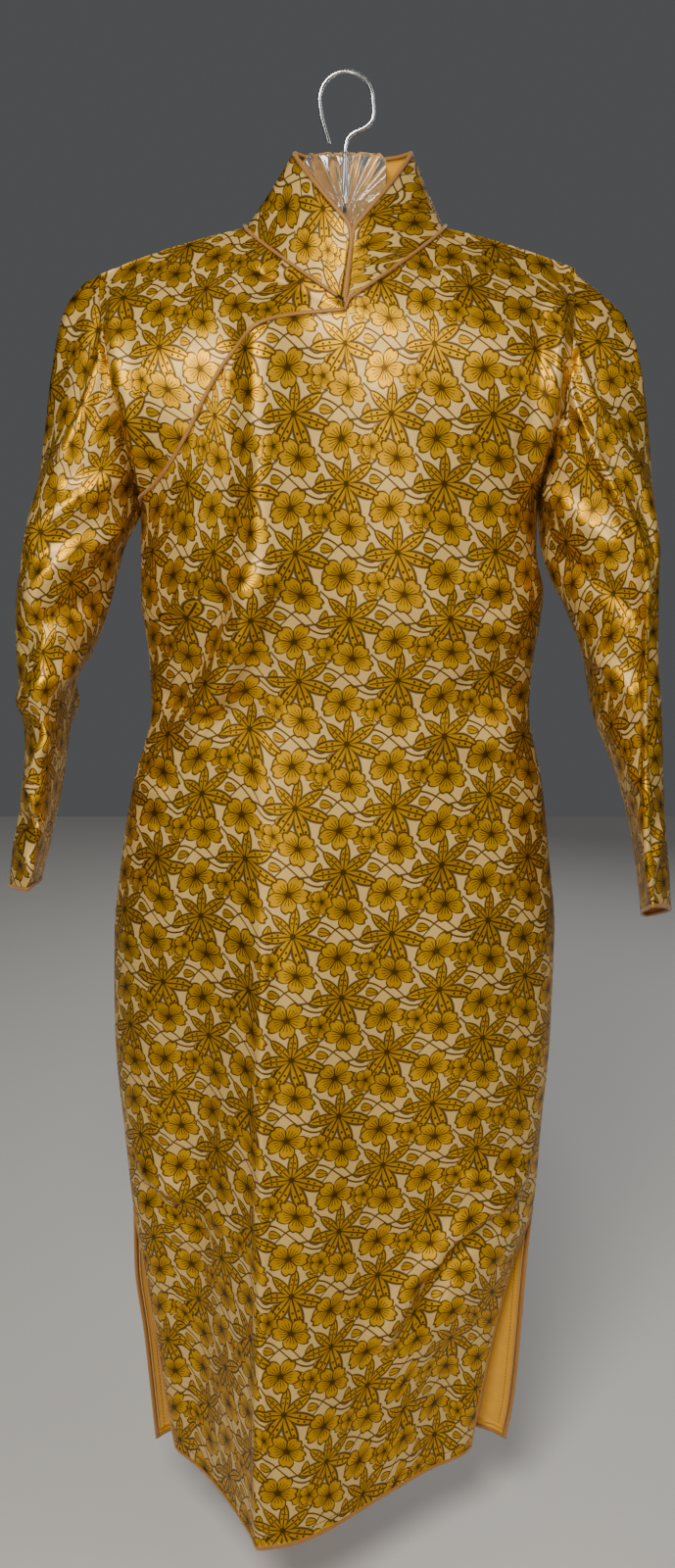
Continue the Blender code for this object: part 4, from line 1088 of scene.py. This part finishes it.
def leaf_group():
    """A leaf of seven pointed lobes with veins, dark dots and a dark outline."""
    nodes, given, out = new_group("Palmate leaf", MOTIF_INPUTS, ("Fill", "Line", "Shade"))
    _, _, radius, angle = motif_place(nodes, given)
    spoke, away = folded(nodes, angle, 7)
    reach = nodes.math("MULTIPLY_ADD", nodes.math("COSINE", spoke), 0.16, 0.84)
    scaled = nodes.math("DIVIDE", radius, reach)
    along = nodes.math("MULTIPLY", scaled, nodes.math("COSINE", away))
    aside = nodes.math("ABSOLUTE", nodes.math("MULTIPLY", scaled, nodes.math("SINE", away)))
    inside = nodes.math("MAXIMUM", nodes.math("SUBTRACT", 1.0, along), 0.0)
    swell = nodes.math("POWER", nodes.math("MAXIMUM", along, 0.0), 0.80)
    taper = nodes.math("POWER", inside, 0.80)
    width = nodes.math("MULTIPLY", nodes.math("MULTIPLY", swell, taper), 0.50)
    edge = nodes.math("SUBTRACT", width, aside)
    fill = nodes.inside(edge, 0.012)
    vein = nodes.band(aside, 0.030)
    vein = nodes.math("MULTIPLY", vein, nodes.math("LESS_THAN", along, 0.86))
    line = nodes.math("MAXIMUM", nodes.band(edge, 0.046), nodes.math("MULTIPLY", vein, fill))
    for place, offset in LEAF_DOTS:
        x = nodes.math("SUBTRACT", along, place)
        y = nodes.math("SUBTRACT", aside, offset)
        spot = nodes.length(x, y)
        line = nodes.math("MAXIMUM", line, nodes.math("LESS_THAN", spot, 0.034))
    line = nodes.math("MAXIMUM", line, nodes.math("LESS_THAN", radius, 0.07))
    shade = nodes.math("SUBTRACT", 0.9, nodes.math("MULTIPLY", radius, 1.6), clamp=True)
    return nodes.output(out, fill, line, shade)


def blossom_group():
    """A blossom of five notched petals with fine dark rays and a dark middle."""
    nodes, given, out = new_group("Blossom", MOTIF_INPUTS, ("Fill", "Line", "Shade"))
    _, _, radius, angle = motif_place(nodes, given)
    _, away = folded(nodes, angle, 5)
    round_part = nodes.math("POWER", nodes.math("ABSOLUTE", nodes.math(
        "COSINE", nodes.math("MULTIPLY", away, 2.38))), 0.55)
    notch = nodes.math("MULTIPLY", nodes.band(away, 0.16), 0.12)
    reach = nodes.math("SUBTRACT", nodes.math("MULTIPLY_ADD", round_part, 0.62, 0.38), notch)
    edge = nodes.math("SUBTRACT", reach, radius)
    fill = nodes.inside(edge, 0.02)
    _, ray = folded(nodes, angle, 20)
    ray = nodes.band(nodes.math("MULTIPLY", ray, radius), 0.026)
    _, split = folded(nodes, nodes.math("ADD", angle, math.pi / 5), 5)
    split = nodes.band(nodes.math("MULTIPLY", split, radius), 0.050)
    length = nodes.math("LESS_THAN", radius, nodes.math("MULTIPLY", reach, 0.66))
    ray = nodes.math("MULTIPLY", ray, length)
    line = nodes.math("MAXIMUM", nodes.band(edge, 0.085), nodes.math("MAXIMUM", ray, split))
    line = nodes.math("MULTIPLY", line, nodes.inside(nodes.math("ADD", edge, 0.05), 0.02))
    line = nodes.math("MAXIMUM", line, nodes.math("LESS_THAN", radius, 0.14))
    shade = nodes.math("SUBTRACT", 1.0, nodes.math("MULTIPLY", radius, 1.5), clamp=True)
    return nodes.output(out, fill, line, shade)


def bud_group():
    """A closed bud: an oval with a pointed tip and a middle line."""
    nodes, given, out = new_group("Bud", MOTIF_INPUTS, ("Fill", "Line", "Shade"))
    x, y, radius, _ = motif_place(nodes, given)
    room = nodes.math("MAXIMUM", nodes.math("SUBTRACT", 1.0, nodes.math("MULTIPLY", x, x)), 0.0)
    lean = nodes.math("MULTIPLY_ADD", x, -0.28, 0.60)
    edge = nodes.math("SUBTRACT", nodes.math("MULTIPLY", nodes.math("SQRT", room), lean),
                      nodes.math("ABSOLUTE", y))
    fill = nodes.math("MULTIPLY", nodes.inside(edge, 0.06), nodes.math("GREATER_THAN", room, 0.0))
    line = nodes.math("MAXIMUM", nodes.band(edge, 0.16), nodes.band(y, 0.07))
    line = nodes.math("MULTIPLY", line, nodes.math("LESS_THAN", radius, 1.05))
    shade = nodes.math("MULTIPLY_ADD", x, -0.5, 0.2, clamp=True)
    return nodes.output(out, fill, line, shade)


# The print's layout in one repeat: kind, middle across and up, turn in degrees, size, squash.
MOTIF_COLUMNS = ("kind", "across", "up", "turn", "size", "squash")
MOTIFS = (
    ("bud", 0.0290, 0.0370, 60, 0.0058, 1.0),
    ("bud", 0.0560, -0.0330, 200, 0.0055, 1.0),
    ("bud", 0.0130, -0.0330, -40, 0.0055, 1.0),
    ("bud", 0.0640, 0.0330, 130, 0.0058, 1.0),
    ("bud", 0.0250, 0.0030, 10, 0.0052, 1.0),
    ("bud", 0.0600, 0.0020, 280, 0.0055, 1.0),
    ("leaf", 0.0000, 0.0000, 70, 0.0330, 1.0),
    ("blossom", 0.0170, 0.0270, 15, 0.0108, 0.9),
    ("blossom", 0.0630, -0.0230, 75, 0.0106, 0.9),
    ("blossom", 0.0430, 0.0185, 25, 0.0182, 0.76),
    ("blossom", 0.0360, -0.0175, 155, 0.0182, 0.82),
)
STEMS = ((0.011, 1.0, 0.0), (0.007, 2.0, 1.7))


def stem_lines(nodes, place):
    """Thin wandering stems that repeat with the layout."""
    x, y = nodes.split(place)
    row = nodes.math("ROUND", nodes.math("DIVIDE", y, PRINT_REPEAT[1]))
    up = nodes.math("SUBTRACT", y, nodes.math("MULTIPLY", row, PRINT_REPEAT[1]))
    shifted = nodes.math("ADD", x, nodes.math("MULTIPLY", row, PRINT_REPEAT[0]))
    found = None
    for sway, waves, start in STEMS:
        phase = nodes.math("MULTIPLY_ADD", shifted, math.pi * waves / PRINT_REPEAT[0], start)
        bend = nodes.math("MULTIPLY", nodes.math("SINE", phase), sway)
        line = nodes.band(nodes.math("SUBTRACT", up, bend), 0.0011)
        found = line if found is None else nodes.math("MAXIMUM", found, line)
    return found


def print_group():
    """The whole print from flat cloth coordinates in metres: fill, dark line and shade."""
    groups = {"leaf": leaf_group(), "blossom": blossom_group(), "bud": bud_group()}
    inputs = (("Place", "NodeSocketVector"),)
    nodes, given, out = new_group("Garden print", inputs, ("Fill", "Line", "Shade"))
    place = given["Place"]
    line = stem_lines(nodes, place)
    fill = nodes.math("MULTIPLY", line, 0.7)
    shade = nodes.math("MULTIPLY", line, 0.0)
    for row in MOTIFS:
        motif = dict(zip(MOTIF_COLUMNS, row))
        node = nodes.node("ShaderNodeGroup", node_tree=groups[motif["kind"]])
        node.inputs["Middle"].default_value = (motif["across"], motif["up"], 0.0)
        node.inputs["Turn"].default_value = math.radians(motif["turn"])
        node.inputs["Size"].default_value = motif["size"]
        node.inputs["Squash"].default_value = motif["squash"]
        nodes.tree.links.new(place, node.inputs["Place"])
        motif_fill, motif_line, motif_shade = node.outputs
        keep = nodes.math("SUBTRACT", 1.0, motif_fill)
        fill = nodes.math("MAXIMUM", fill, motif_fill)
        line = nodes.math("MAXIMUM", nodes.math("MULTIPLY", line, keep), motif_line)
        added = nodes.math("MULTIPLY", motif_shade, motif_fill)
        shade = nodes.math("MULTIPLY_ADD", shade, keep, added)
    line = nodes.math("MULTIPLY", line, 1.8, clamp=True)
    return nodes.output(out, fill, line, shade)


def new_material(name):
    material = bpy.data.materials.new(name)
    material.use_nodes = True
    nodes = Nodes(material.node_tree)
    return material, nodes, material.node_tree.nodes["Principled BSDF"]


def weave_bump(nodes, shader, place, fine, crumple, strength):
    """A fine weave and a soft crumple, as bump. Also gives back the crumple, whose crests and hollows
    the cloth colours follow as painted sheen and painted shade.
    """
    weave = nodes.node("ShaderNodeTexWave", wave_type="BANDS", bands_direction="DIAGONAL")
    nodes.tree.links.new(place, weave.inputs["Vector"])
    weave.inputs["Scale"].default_value = fine
    weave.inputs["Distortion"].default_value = 0.6
    soft = nodes.node("ShaderNodeTexNoise")
    nodes.tree.links.new(place, soft.inputs["Vector"])
    soft.inputs["Scale"].default_value = crumple
    soft.inputs["Detail"].default_value = 3.0
    height = nodes.math("MULTIPLY_ADD", weave.outputs["Fac"], 0.06, soft.outputs["Fac"])
    bump = nodes.node("ShaderNodeBump")
    bump.inputs["Strength"].default_value = strength
    bump.inputs["Distance"].default_value = 0.0012
    nodes.tree.links.new(height, bump.inputs["Height"])
    nodes.tree.links.new(bump.outputs["Normal"], shader.inputs["Normal"])
    return soft.outputs["Fac"]


def cloth_place(nodes):
    return nodes.node("ShaderNodeUVMap", uv_map="Cloth").outputs[0]


def satin_material(pattern):
    material, nodes, shader = new_material("printed satin")
    place = cloth_place(nodes)
    drawn = nodes.node("ShaderNodeGroup", node_tree=pattern)
    nodes.tree.links.new(place, drawn.inputs["Place"])
    fill, line, shade = drawn.outputs
    soft = weave_bump(nodes, shader, place, fine=900.0, crumple=60.0, strength=0.35)
    # The gold turns lighter where the crumple rises: painted sheen on the crumple's crests, laid out
    # at random with the crumple
    crest_sheen = nodes.math("MULTIPLY_ADD", soft, 1.6, -0.4, clamp=True)
    gold = nodes.blend(crest_sheen, SATIN_GOLD, SATIN_SHEEN_GOLD)
    gold = nodes.blend(nodes.math("MULTIPLY", shade, 0.30), gold, SATIN_BROWN)
    colour = nodes.blend(fill, SATIN_GROUND, gold)
    colour = nodes.blend(nodes.math("MULTIPLY", line, 0.88), colour, SATIN_BROWN)
    nodes.tree.links.new(colour, shader.inputs["Base Color"])
    nodes.tree.links.new(nodes.math("MULTIPLY_ADD", fill, 0.40, 0.35), shader.inputs["Metallic"])
    nodes.tree.links.new(nodes.math("MULTIPLY_ADD", fill, -0.04, 0.46), shader.inputs["Roughness"])
    shader.inputs["Specular IOR Level"].default_value = 0.35
    return material


def plain_cloth_material(name, colour, hollow_shade_share, fine, roughness):
    material, nodes, shader = new_material(name)
    place = cloth_place(nodes)
    soft = weave_bump(nodes, shader, place, fine=fine, crumple=90.0, strength=0.5)
    # Darker where the crumple sinks: painted shade in the crumple's hollows, laid out at random with
    # the crumple
    dark = tuple(channel * hollow_shade_share for channel in colour)
    nodes.tree.links.new(nodes.blend(soft, dark, colour), shader.inputs["Base Color"])
    shader.inputs["Roughness"].default_value = roughness
    shader.inputs["Sheen Weight"].default_value = 0.2
    return material


def clear_material():
    material, nodes, shader = new_material("clear moulded plastic")
    soft = nodes.node("ShaderNodeTexNoise")
    soft.inputs["Scale"].default_value = 160.0
    rough = nodes.math("MULTIPLY_ADD", soft.outputs["Fac"], 0.08, 0.02)
    nodes.tree.links.new(rough, shader.inputs["Roughness"])
    tint = nodes.blend(soft.outputs["Fac"], CLEAR_SHADE, CLEAR_TINT)
    nodes.tree.links.new(tint, shader.inputs["Base Color"])
    shader.inputs["Transmission Weight"].default_value = 0.95
    shader.inputs["IOR"].default_value = 1.49
    return material


def steel_material():
    material, nodes, shader = new_material("plated wire")
    scratches = nodes.node("ShaderNodeTexNoise")
    scratches.inputs["Scale"].default_value = 700.0
    rough = nodes.math("MULTIPLY_ADD", scratches.outputs["Fac"], 0.18, 0.06)
    nodes.tree.links.new(rough, shader.inputs["Roughness"])
    tint = nodes.blend(scratches.outputs["Fac"], STEEL_DARK, STEEL)
    nodes.tree.links.new(tint, shader.inputs["Base Color"])
    shader.inputs["Metallic"].default_value = 1.0
    return material


def floor_material():
    material, nodes, shader = new_material("pale floor")
    grain = nodes.node("ShaderNodeTexNoise")
    grain.inputs["Scale"].default_value = 9.0
    tint = nodes.blend(grain.outputs["Fac"], FLOOR_SHADE, FLOOR_GREY)
    nodes.tree.links.new(tint, shader.inputs["Base Color"])
    shader.inputs["Roughness"].default_value = 0.7
    return material


def crease_panel(grid, facing, rows, span=1.0):
    """Creases that die away at the side seams; span is the share that the grid's edges reach."""
    normals = grid_normals(grid, facing)
    height = crease_height(rows, CREASE_COLUMNS, grid[..., 0], grid[..., 2])
    columns = np.linspace(-span, span, grid.shape[1])[None, :]
    calm = 1 - np.abs(columns) ** CREASE_CALM_POWER
    return grid + normals * (height * calm * CREASE_STRENGTH)[..., None]


def add_front(cloth):
    grid = crease_panel(front_grid(), -1, FRONT_CREASES)
    normals = grid_normals(grid, -1)
    middle = int(np.argmin(np.abs(grid[0, :, 0] - NECK_MIDDLE)))
    places = panel_places(grid, middle, FRONT_ROWS[0])
    piece = add_shell("front_cloth", grid, keep_front(grid - normals * SHELL), places, cloth)
    settle(piece, "satin_print", "front_panel")
    return piece, grid, normals


def add_back(cloth):
    grid = crease_panel(back_grid(), 1, BACK_CREASES)
    normals = grid_normals(grid, 1)
    middle = grid.shape[1] // 2
    places = panel_places(grid, middle, BACK_ROWS[0])
    piece = add_shell("back_cloth", grid, keep_back(grid - normals * SHELL), places, cloth)
    settle(piece, "satin_print", "back_panel")
    return piece, grid, normals


def add_underlap(cloth):
    grid = crease_panel(underlap_grid(), -1, FRONT_CREASES)
    grid = keep_front(grid)
    normals = grid_normals(grid, -1)
    places = panel_places(grid, grid.shape[1] - 1, UNDERLAP_ROWS)
    piece = add_shell("underlap_cloth", grid, keep_front(grid - normals * SHELL), places, cloth)
    settle(piece, "satin_print", "front_underlap")
    return piece, grid, normals


def add_sleeve(which, loop, front_steps, back_steps, cloth, trim):
    turn = sleeve_turns(front_steps, back_steps)
    grid = sleeve_grid(which, loop, turn)
    normals = grid_normals(grid, 1, closed=True)
    middle = grid.mean(axis=1, keepdims=True)
    if np.sum(normals * (grid - middle)) < 0:
        normals = -normals
    calm = smooth_step(np.arange(len(grid)) / SLEEVE_CALM_RINGS)[:, None]
    height = sleeve_creases(which, turn, grid[..., 2]) * calm
    grid = grid + normals * (height * CREASE_STRENGTH)[..., None]
    inner = grid - normals * SHELL
    side = SLEEVES[which]["side"]
    inner[0, :, 0] = side * np.maximum(inner[0, :, 0] * side, grid[0, :, 0] * side)
    piece = add_shell("sleeve_cloth_" + which, grid, inner, tube_places(grid, front_steps), cloth,
                      closed=True)
    settle(piece, "satin_print", "sleeve_" + which)
    run_off = unit(grid[-1] - grid[-2])
    path = grid[-1] + run_off * (PIPING_WIDTH / 2) - normals[-1] * SHELL / 2
    wide, deep = square_up(path, normals[-1], closed=True)
    cuff = add_tube("cuff_cord_" + which, path, wide, deep, (PIPING_WIDTH, PIPING_THICKNESS), trim,
                    closed=True)
    settle(cuff, "satin_piping", "cuff_piping_" + which)
    return piece


def add_collar(base, cloth, trim):
    gap = PIPING_WIDTH + SEAM
    grid = collar_grid(trim_ends(base, gap, gap))
    normals = outward(grid)
    run = lengths_along(grid, 1)
    climb = lengths_along(grid, 0)
    places = np.stack([run, climb], axis=-1)
    piece = add_shell("collar_cloth", grid, grid - normals * COLLAR_WALL, places, cloth)
    settle(piece, "satin_print", "collar")
    path = np.vstack([grid[1:-1, 0], grid[-1], grid[-2:0:-1, -1]])
    deep = np.vstack([normals[1:-1, 0], normals[-1], normals[-2:0:-1, -1]])
    wide, deep = square_up(path, deep)
    middle = grid[1:-1].reshape(-1, 3).mean(axis=0)
    if np.sum(wide[len(wide) // 2] * (path[len(path) // 2] - middle)) < 0:
        wide = -wide
    path = path + wide * (PIPING_WIDTH / 2) - deep * COLLAR_WALL / 2
    cord = add_tube("collar_cord", path, wide, deep, (PIPING_WIDTH, PIPING_THICKNESS), trim)
    settle(cord, "satin_piping", "collar_piping")
    return piece


def add_neck_piping(base, panel_normals, trim):
    collar_normals = outward(collar_grid(base))[0]
    ridge_top = np.abs(base[:, 0]) > NECK_HALF_WIDTH - NECK_SPARE
    panel_normals = np.where(ridge_top[:, None], (0.0, 0.0, 1.0), panel_normals)
    both = panel_normals + collar_normals
    half = np.linalg.norm(both, axis=1, keepdims=True) / 2
    path = base + unit(both) * (NECK_PIPING / 2 + SEAM) / half
    path = trim_ends(path, NECK_PIPING_START, 0.0)
    deep = np.array([np.interp(np.linspace(0, 1, len(path)), np.linspace(0, 1, len(base)), n)
                     for n in unit(both).T]).T
    wide, deep = square_up(path, deep)
    cord = add_tube("neck_cord", path, wide, deep, (NECK_PIPING, NECK_PIPING), trim)
    settle(cord, "satin_piping", "neck_piping")


def add_edge_binding(name, node, grid, normals, counts, trim):
    """A binding that wraps the slit edges and the hem: left edge, hem, right edge."""
    down, side = grid_steps(grid, False)
    left = np.arange(counts[0] + counts[1] + 1, len(grid))
    path = np.vstack([grid[left, 0], grid[-1, 1:-1], grid[left[::-1], -1]])
    deep = np.vstack([normals[left, 0], normals[-1, 1:-1], normals[left[::-1], -1]])
    off = np.vstack([-unit(side[left, 0]), unit(down[-1, 1:-1]), unit(side[left[::-1], -1])])
    corner = len(left) - 1
    for k in (corner, len(path) - 1 - corner):
        off[k] = off[k] + unit(down[-1, 0])
    path = path + off * (BINDING_WIDTH / 2) - deep * SHELL / 2
    wide, deep = square_up(path, deep)
    cord = add_tube(name, path, wide, deep, (BINDING_WIDTH, BINDING_THICKNESS), trim)
    settle(cord, "satin_piping", node)


def add_opening_piping(grid, normals, trim):
    middle = int(np.argmin(np.abs(grid[0, :, 0] - NECK_MIDDLE)))
    picked = slice(1, middle + 1)
    path = grid[0, picked]
    deep = normals[0, picked]
    wide, deep = square_up(path, deep)
    if wide[-1][2] < 0:
        wide = -wide
    path = path + wide * (PIPING_WIDTH / 2) + deep * OPENING_PIPING_LIFT
    path[-1] = path[-1] + unit(path[-2] - path[-1]) * OPENING_PIPING_STOP / ACROSS
    cord = add_tube("opening_cord", path, wide, deep, (PIPING_WIDTH, PIPING_THICKNESS), trim)
    settle(cord, "satin_piping", "opening_piping")


def add_lining(cloth):
    shares = np.linspace(-LINING_SHARE, LINING_SHARE, LINING_COLUMNS + 1)
    levels = np.linspace(LINING_TOP, LINING_BOTTOM, LINING_ROWS + 1)
    share_grid = np.broadcast_to(shares, (len(levels), len(shares)))
    level_grid = np.broadcast_to(levels[:, None], share_grid.shape)
    grid = crease_panel(back_point(share_grid, level_grid), 1, BACK_CREASES, LINING_SHARE)
    normals = grid_normals(grid, 1)
    outer = keep_back(grid - normals * (LINING_DEPTH + WALL))
    inner = keep_back(grid - normals * LINING_DEPTH)
    places = panel_places(outer, LINING_COLUMNS // 2, 0)
    piece = add_shell("lining_cloth", outer, inner, places, cloth)
    settle(piece, "plain_lining", "back_lining")
    return piece, outer, -normals


def add_stitches(name, path, outward_way, thread):
    """A row of short thread dashes lying along a path."""
    run = lengths_along(path, 0)
    starts = np.arange(STITCH_GAP, run[-1] - STITCH_LENGTH, STITCH_LENGTH + STITCH_GAP)
    angles = 2 * np.pi * np.arange(STITCH_SIDES) / STITCH_SIDES
    points, faces = [], []
    for start in starts:
        places = start + STITCH_LENGTH * np.array(STITCH_STATIONS)
        middle = along_path(places, run, path)
        away = unit(along_path(places, run, outward_way))
        middle = middle + away * (STITCH_RADIUS * np.array(STITCH_RISES))[:, None]
        wide, deep = square_up(middle, away)
        faces.extend(ring_faces(len(points), len(STITCH_STATIONS), STITCH_SIDES))
        for centre, across_way, up_way in zip(middle, wide, deep):
            for angle in angles:
                off = math.cos(angle) * across_way + math.sin(angle) * up_way
                points.append(centre + STITCH_RADIUS * off)
    uvs = [(0.0, 0.0)] * (4 * len(faces))
    row = add_mesh(name, np.array(points), faces, uvs, [0] * len(faces), [thread])
    settle(row, "satin_piping")


def along_path(places, run, values):
    """Values of a path's points at given distances along it."""
    return np.stack([np.interp(places, run, values[:, axis]) for axis in range(3)], axis=-1)


def ring_faces(base, rings, sides):
    """Faces between rings of points that follow each other from point number base on."""
    faces = []
    for k in range(rings - 1):
        here, ahead = base + k * sides, base + (k + 1) * sides
        for a in range(sides):
            b = (a + 1) % sides
            faces.append((here + a, here + b, ahead + b, ahead + a))
    return faces


def add_lining_stitches(lining_grid, lining_normals, thread):
    """A row of stitches a few columns in from each side edge of the lining."""
    for side, place in (("left", 3), ("right", -4)):
        path, outward_way = lining_grid[:, place], lining_normals[:, place]
        add_stitches("lining_stitches_" + side, path, outward_way, thread)


def add_hem_stitches(name, grid, normals, thread):
    """Stitches that hold the turned hem, a little above its binding."""
    add_stitches(name, grid[-3, 2:-2], normals[-3, 2:-2], thread)


def add_hook(steel):
    path = smooth_path(hook_path(), HOOK_STEPS)
    deep = np.tile([0.0, 1.0, 0.0], (len(path), 1))
    wide, deep = square_up(path, deep)
    widths = (2 * HOOK_WIRE, 2 * HOOK_WIRE)
    hook = add_tube("hook_wire", path, wide, deep, widths, steel, sides=HOOK_SIDES)
    settle(hook, "bright_wire", "hanger_hook")


def plate_half_depth(x, z, bottom, top):
    """Half the plate's thickness: thinner at its edge and in the grooves of the fan."""
    edge = np.clip(np.minimum(z - bottom, top - z) / PLATE_EDGE_WIDTH, 0, 1)
    half = PLATE_HALF_THICKNESS * (PLATE_EDGE_SHARE + (1 - PLATE_EDGE_SHARE) * np.sqrt(edge))
    away = np.hypot(x - FAN_MIDDLE[0], z - FAN_MIDDLE[1])
    angle = np.arctan2(x - FAN_MIDDLE[0], z - FAN_MIDDLE[1])
    fan = np.cos(angle * FAN_RIDGES) * smooth_step((away - FAN_START) / FAN_GROWTH)
    return half - FAN_DEPTH * (0.5 - 0.5 * fan)


def hanger_ring(x):
    """One upright ring of points round the hanger: up the front face and down the back."""
    reach = abs(x)
    tip = float(smooth_step(np.array((reach - ARM_TIP_START) / ARM_TIP_LENGTH)))
    arm_middle = float(shoulder_level(np.array(x))) - ARM_DROP - ARM_TIP_DROP * tip
    plate = reach < PLATE_HALF_WIDTH + PLATE_MARGIN
    chamfer = max(0.0, reach - PLATE_HALF_WIDTH + PLATE_CHAMFER)
    plate_top = PLATE_TOP - chamfer - reach * reach * PLATE_TOP_BOW
    top = plate_top if plate else arm_middle + ARM_RADIUS
    blend = float(smooth_step(np.array(reach / PLATE_REACH)))
    bottom = PLATE_BOTTOM + (arm_middle - ARM_RADIUS - PLATE_BOTTOM) * blend
    taper_start = ARM_END - ARM_TAPER_LENGTH + ARM_TAPER_MARGIN
    past = max(0.0, (reach - taper_start) / ARM_TAPER_LENGTH)
    end = math.sqrt(max(ARM_LEAST_END, 1 - past ** 2))
    share = (1 - np.cos(np.linspace(0, np.pi, HANGER_ROWS))) / 2
    z = bottom + (top - bottom) * share
    if plate:
        half = plate_half_depth(x, z, bottom, top)
    else:
        round_share = np.sqrt(np.clip(1 - (2 * share - 1) ** 2, 0, 1))
        half = ARM_RADIUS * np.maximum(ARM_LEAST_DEPTH, round_share) * end
        z = arm_middle + (z - arm_middle) * end
    front = np.stack([np.full_like(z, x), -half, z], axis=-1)
    back = np.stack([np.full_like(z, x), half, z], axis=-1)
    return np.vstack([front, back[::-1]])


def add_hanger(clear):
    plate = np.linspace(0, PLATE_HALF_WIDTH, PLATE_STATIONS)
    arm = np.linspace(PLATE_HALF_WIDTH + 0.001, ARM_END - ARM_TIP_SPAN, ARM_STATIONS)
    turn = np.linspace(0.1, 1, ARM_TIP_STATIONS) * np.pi / 2
    tip = ARM_END - ARM_TIP_SPAN * (1 - np.sin(turn))
    reaches = np.concatenate([plate, arm, tip])
    stations = np.concatenate([-reaches[:0:-1], reaches])
    rings = np.array([hanger_ring(float(x)) for x in stations])
    count, size = rings.shape[:2]
    faces = []
    for k in range(count - 1):
        for a in range(size):
            b = (a + 1) % size
            faces.append((k * size + a, (k + 1) * size + a, (k + 1) * size + b, k * size + b))
    faces.append(tuple(range(size)))
    faces.append(tuple((count - 1) * size + a for a in reversed(range(size))))
    uvs = [(0.0, 0.0)] * sum(len(face) for face in faces)
    body = add_mesh("hanger_clear", rings.reshape(-1, 3), faces, uvs, [0] * len(faces), [clear])
    settle(body, "clear_plastic", "hanger_body")


def add_floor():
    corners = ((-1, -1), (1, -1), (1, 1), (-1, 1))
    points = np.array([(FLOOR_HALF * x, FLOOR_HALF * y, FLOOR_LEVEL) for x, y in corners])
    uvs = [(0.0, 0.0)] * 4
    floor = add_mesh("floor", points, [(0, 1, 2, 3)], uvs, [0], [floor_material()])


def add_light(plan):
    light = bpy.data.lights.new(plan["name"], "AREA")
    light.shape = "DISK"
    light.size = plan["size"]
    light.energy = plan["energy"]
    light.color = plan["colour"]
    lamp = bpy.data.objects.new(plan["name"], light)
    bpy.context.scene.collection.objects.link(lamp)
    lamp.location = plan["place"]
    aim = np.array(plan["target"]) - np.array(plan["place"])
    lamp.rotation_euler = (math.atan2(math.hypot(aim[0], aim[1]), -aim[2]), 0.0,
                           math.atan2(-aim[0], aim[1]))


def add_studio():
    for row in LIGHTS:
        add_light(dict(zip(LIGHT_COLUMNS, row)))
    world = bpy.data.worlds.new("studio")
    world.use_nodes = True
    background = world.node_tree.nodes["Background"]
    background.inputs["Color"].default_value = WORLD_COLOUR
    background.inputs["Strength"].default_value = WORLD_STRENGTH
    bpy.context.scene.world = world


def add_camera():
    lens = bpy.data.cameras.new("camera")
    lens.lens = CAMERA_LENS
    lens.sensor_width = SENSOR_WIDTH
    camera = bpy.data.objects.new("camera", lens)
    bpy.context.scene.collection.objects.link(camera)
    camera.location = CAMERA_PLACE
    camera.rotation_euler = (math.radians(90 - CAMERA_PITCH), 0.0, 0.0)
    bpy.context.scene.camera = camera


def add_trims(front, front_normals, back, back_normals, trim):
    add_opening_piping(front, front_normals, trim)
    add_edge_binding("front_edge", "front_binding", front, front_normals, FRONT_ROWS, trim)
    add_edge_binding("back_edge", "back_binding", back, back_normals, BACK_ROWS, trim)


def add_dress():
    """Adds every cloth piece and trim, and gives back the cut sheets."""
    satin = satin_material(print_group())
    trim = plain_cloth_material("satin bias strip", PIPING_TAN,
                                hollow_shade_share=0.72, fine=1400.0, roughness=0.42)
    lining = plain_cloth_material("plain lining", LINING_YELLOW,
                                  hollow_shade_share=0.80, fine=1100.0, roughness=0.50)
    thread = plain_cloth_material("sewing thread", THREAD_BROWN,
                                  hollow_shade_share=0.70, fine=2600.0, roughness=0.60)
    cloth = [satin, lining]

    front_piece, front, front_normals = add_front(cloth)
    back_piece, back, back_normals = add_back(cloth)
    underlap_piece, underlap, under_normals = add_underlap(cloth)
    back_armhole = slice(0, BACK_ROWS[0] + 1)
    left_loop = armhole_loop(underlap[:UNDERLAP_ROWS + 1, 0], back[back_armhole, 0], -1.0)
    right_loop = armhole_loop(front[:FRONT_ROWS[0] + 1, -1], back[back_armhole, -1], 1.0)
    sleeve_left = add_sleeve("left", *left_loop, cloth, trim)
    sleeve_right = add_sleeve("right", *right_loop, cloth, trim)

    left, behind, right = collar_base(underlap, front, back)
    base = np.vstack([underlap[0, left], back[0, behind], front[0, right]])
    panel_normals = np.vstack([under_normals[0, left], back_normals[0, behind],
                               front_normals[0, right]])
    collar_piece = add_collar(base, cloth, trim)
    add_neck_piping(base, panel_normals, trim)
    add_trims(front, front_normals, back, back_normals, trim)
    lining_piece, lining_grid, lining_normals = add_lining([lining, lining])
    add_lining_stitches(lining_grid, lining_normals, thread)
    add_hem_stitches("front_hem_stitches", front, front_normals, thread)
    add_hem_stitches("back_hem_stitches", back, back_normals, thread)
    return (front_piece, back_piece, underlap_piece, sleeve_left, sleeve_right, collar_piece,
            lining_piece)


def main():
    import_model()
    pieces = add_dress()
    add_hanger(clear_material())
    add_hook(steel_material())
    add_floor()
    add_studio()
    add_camera()


main()
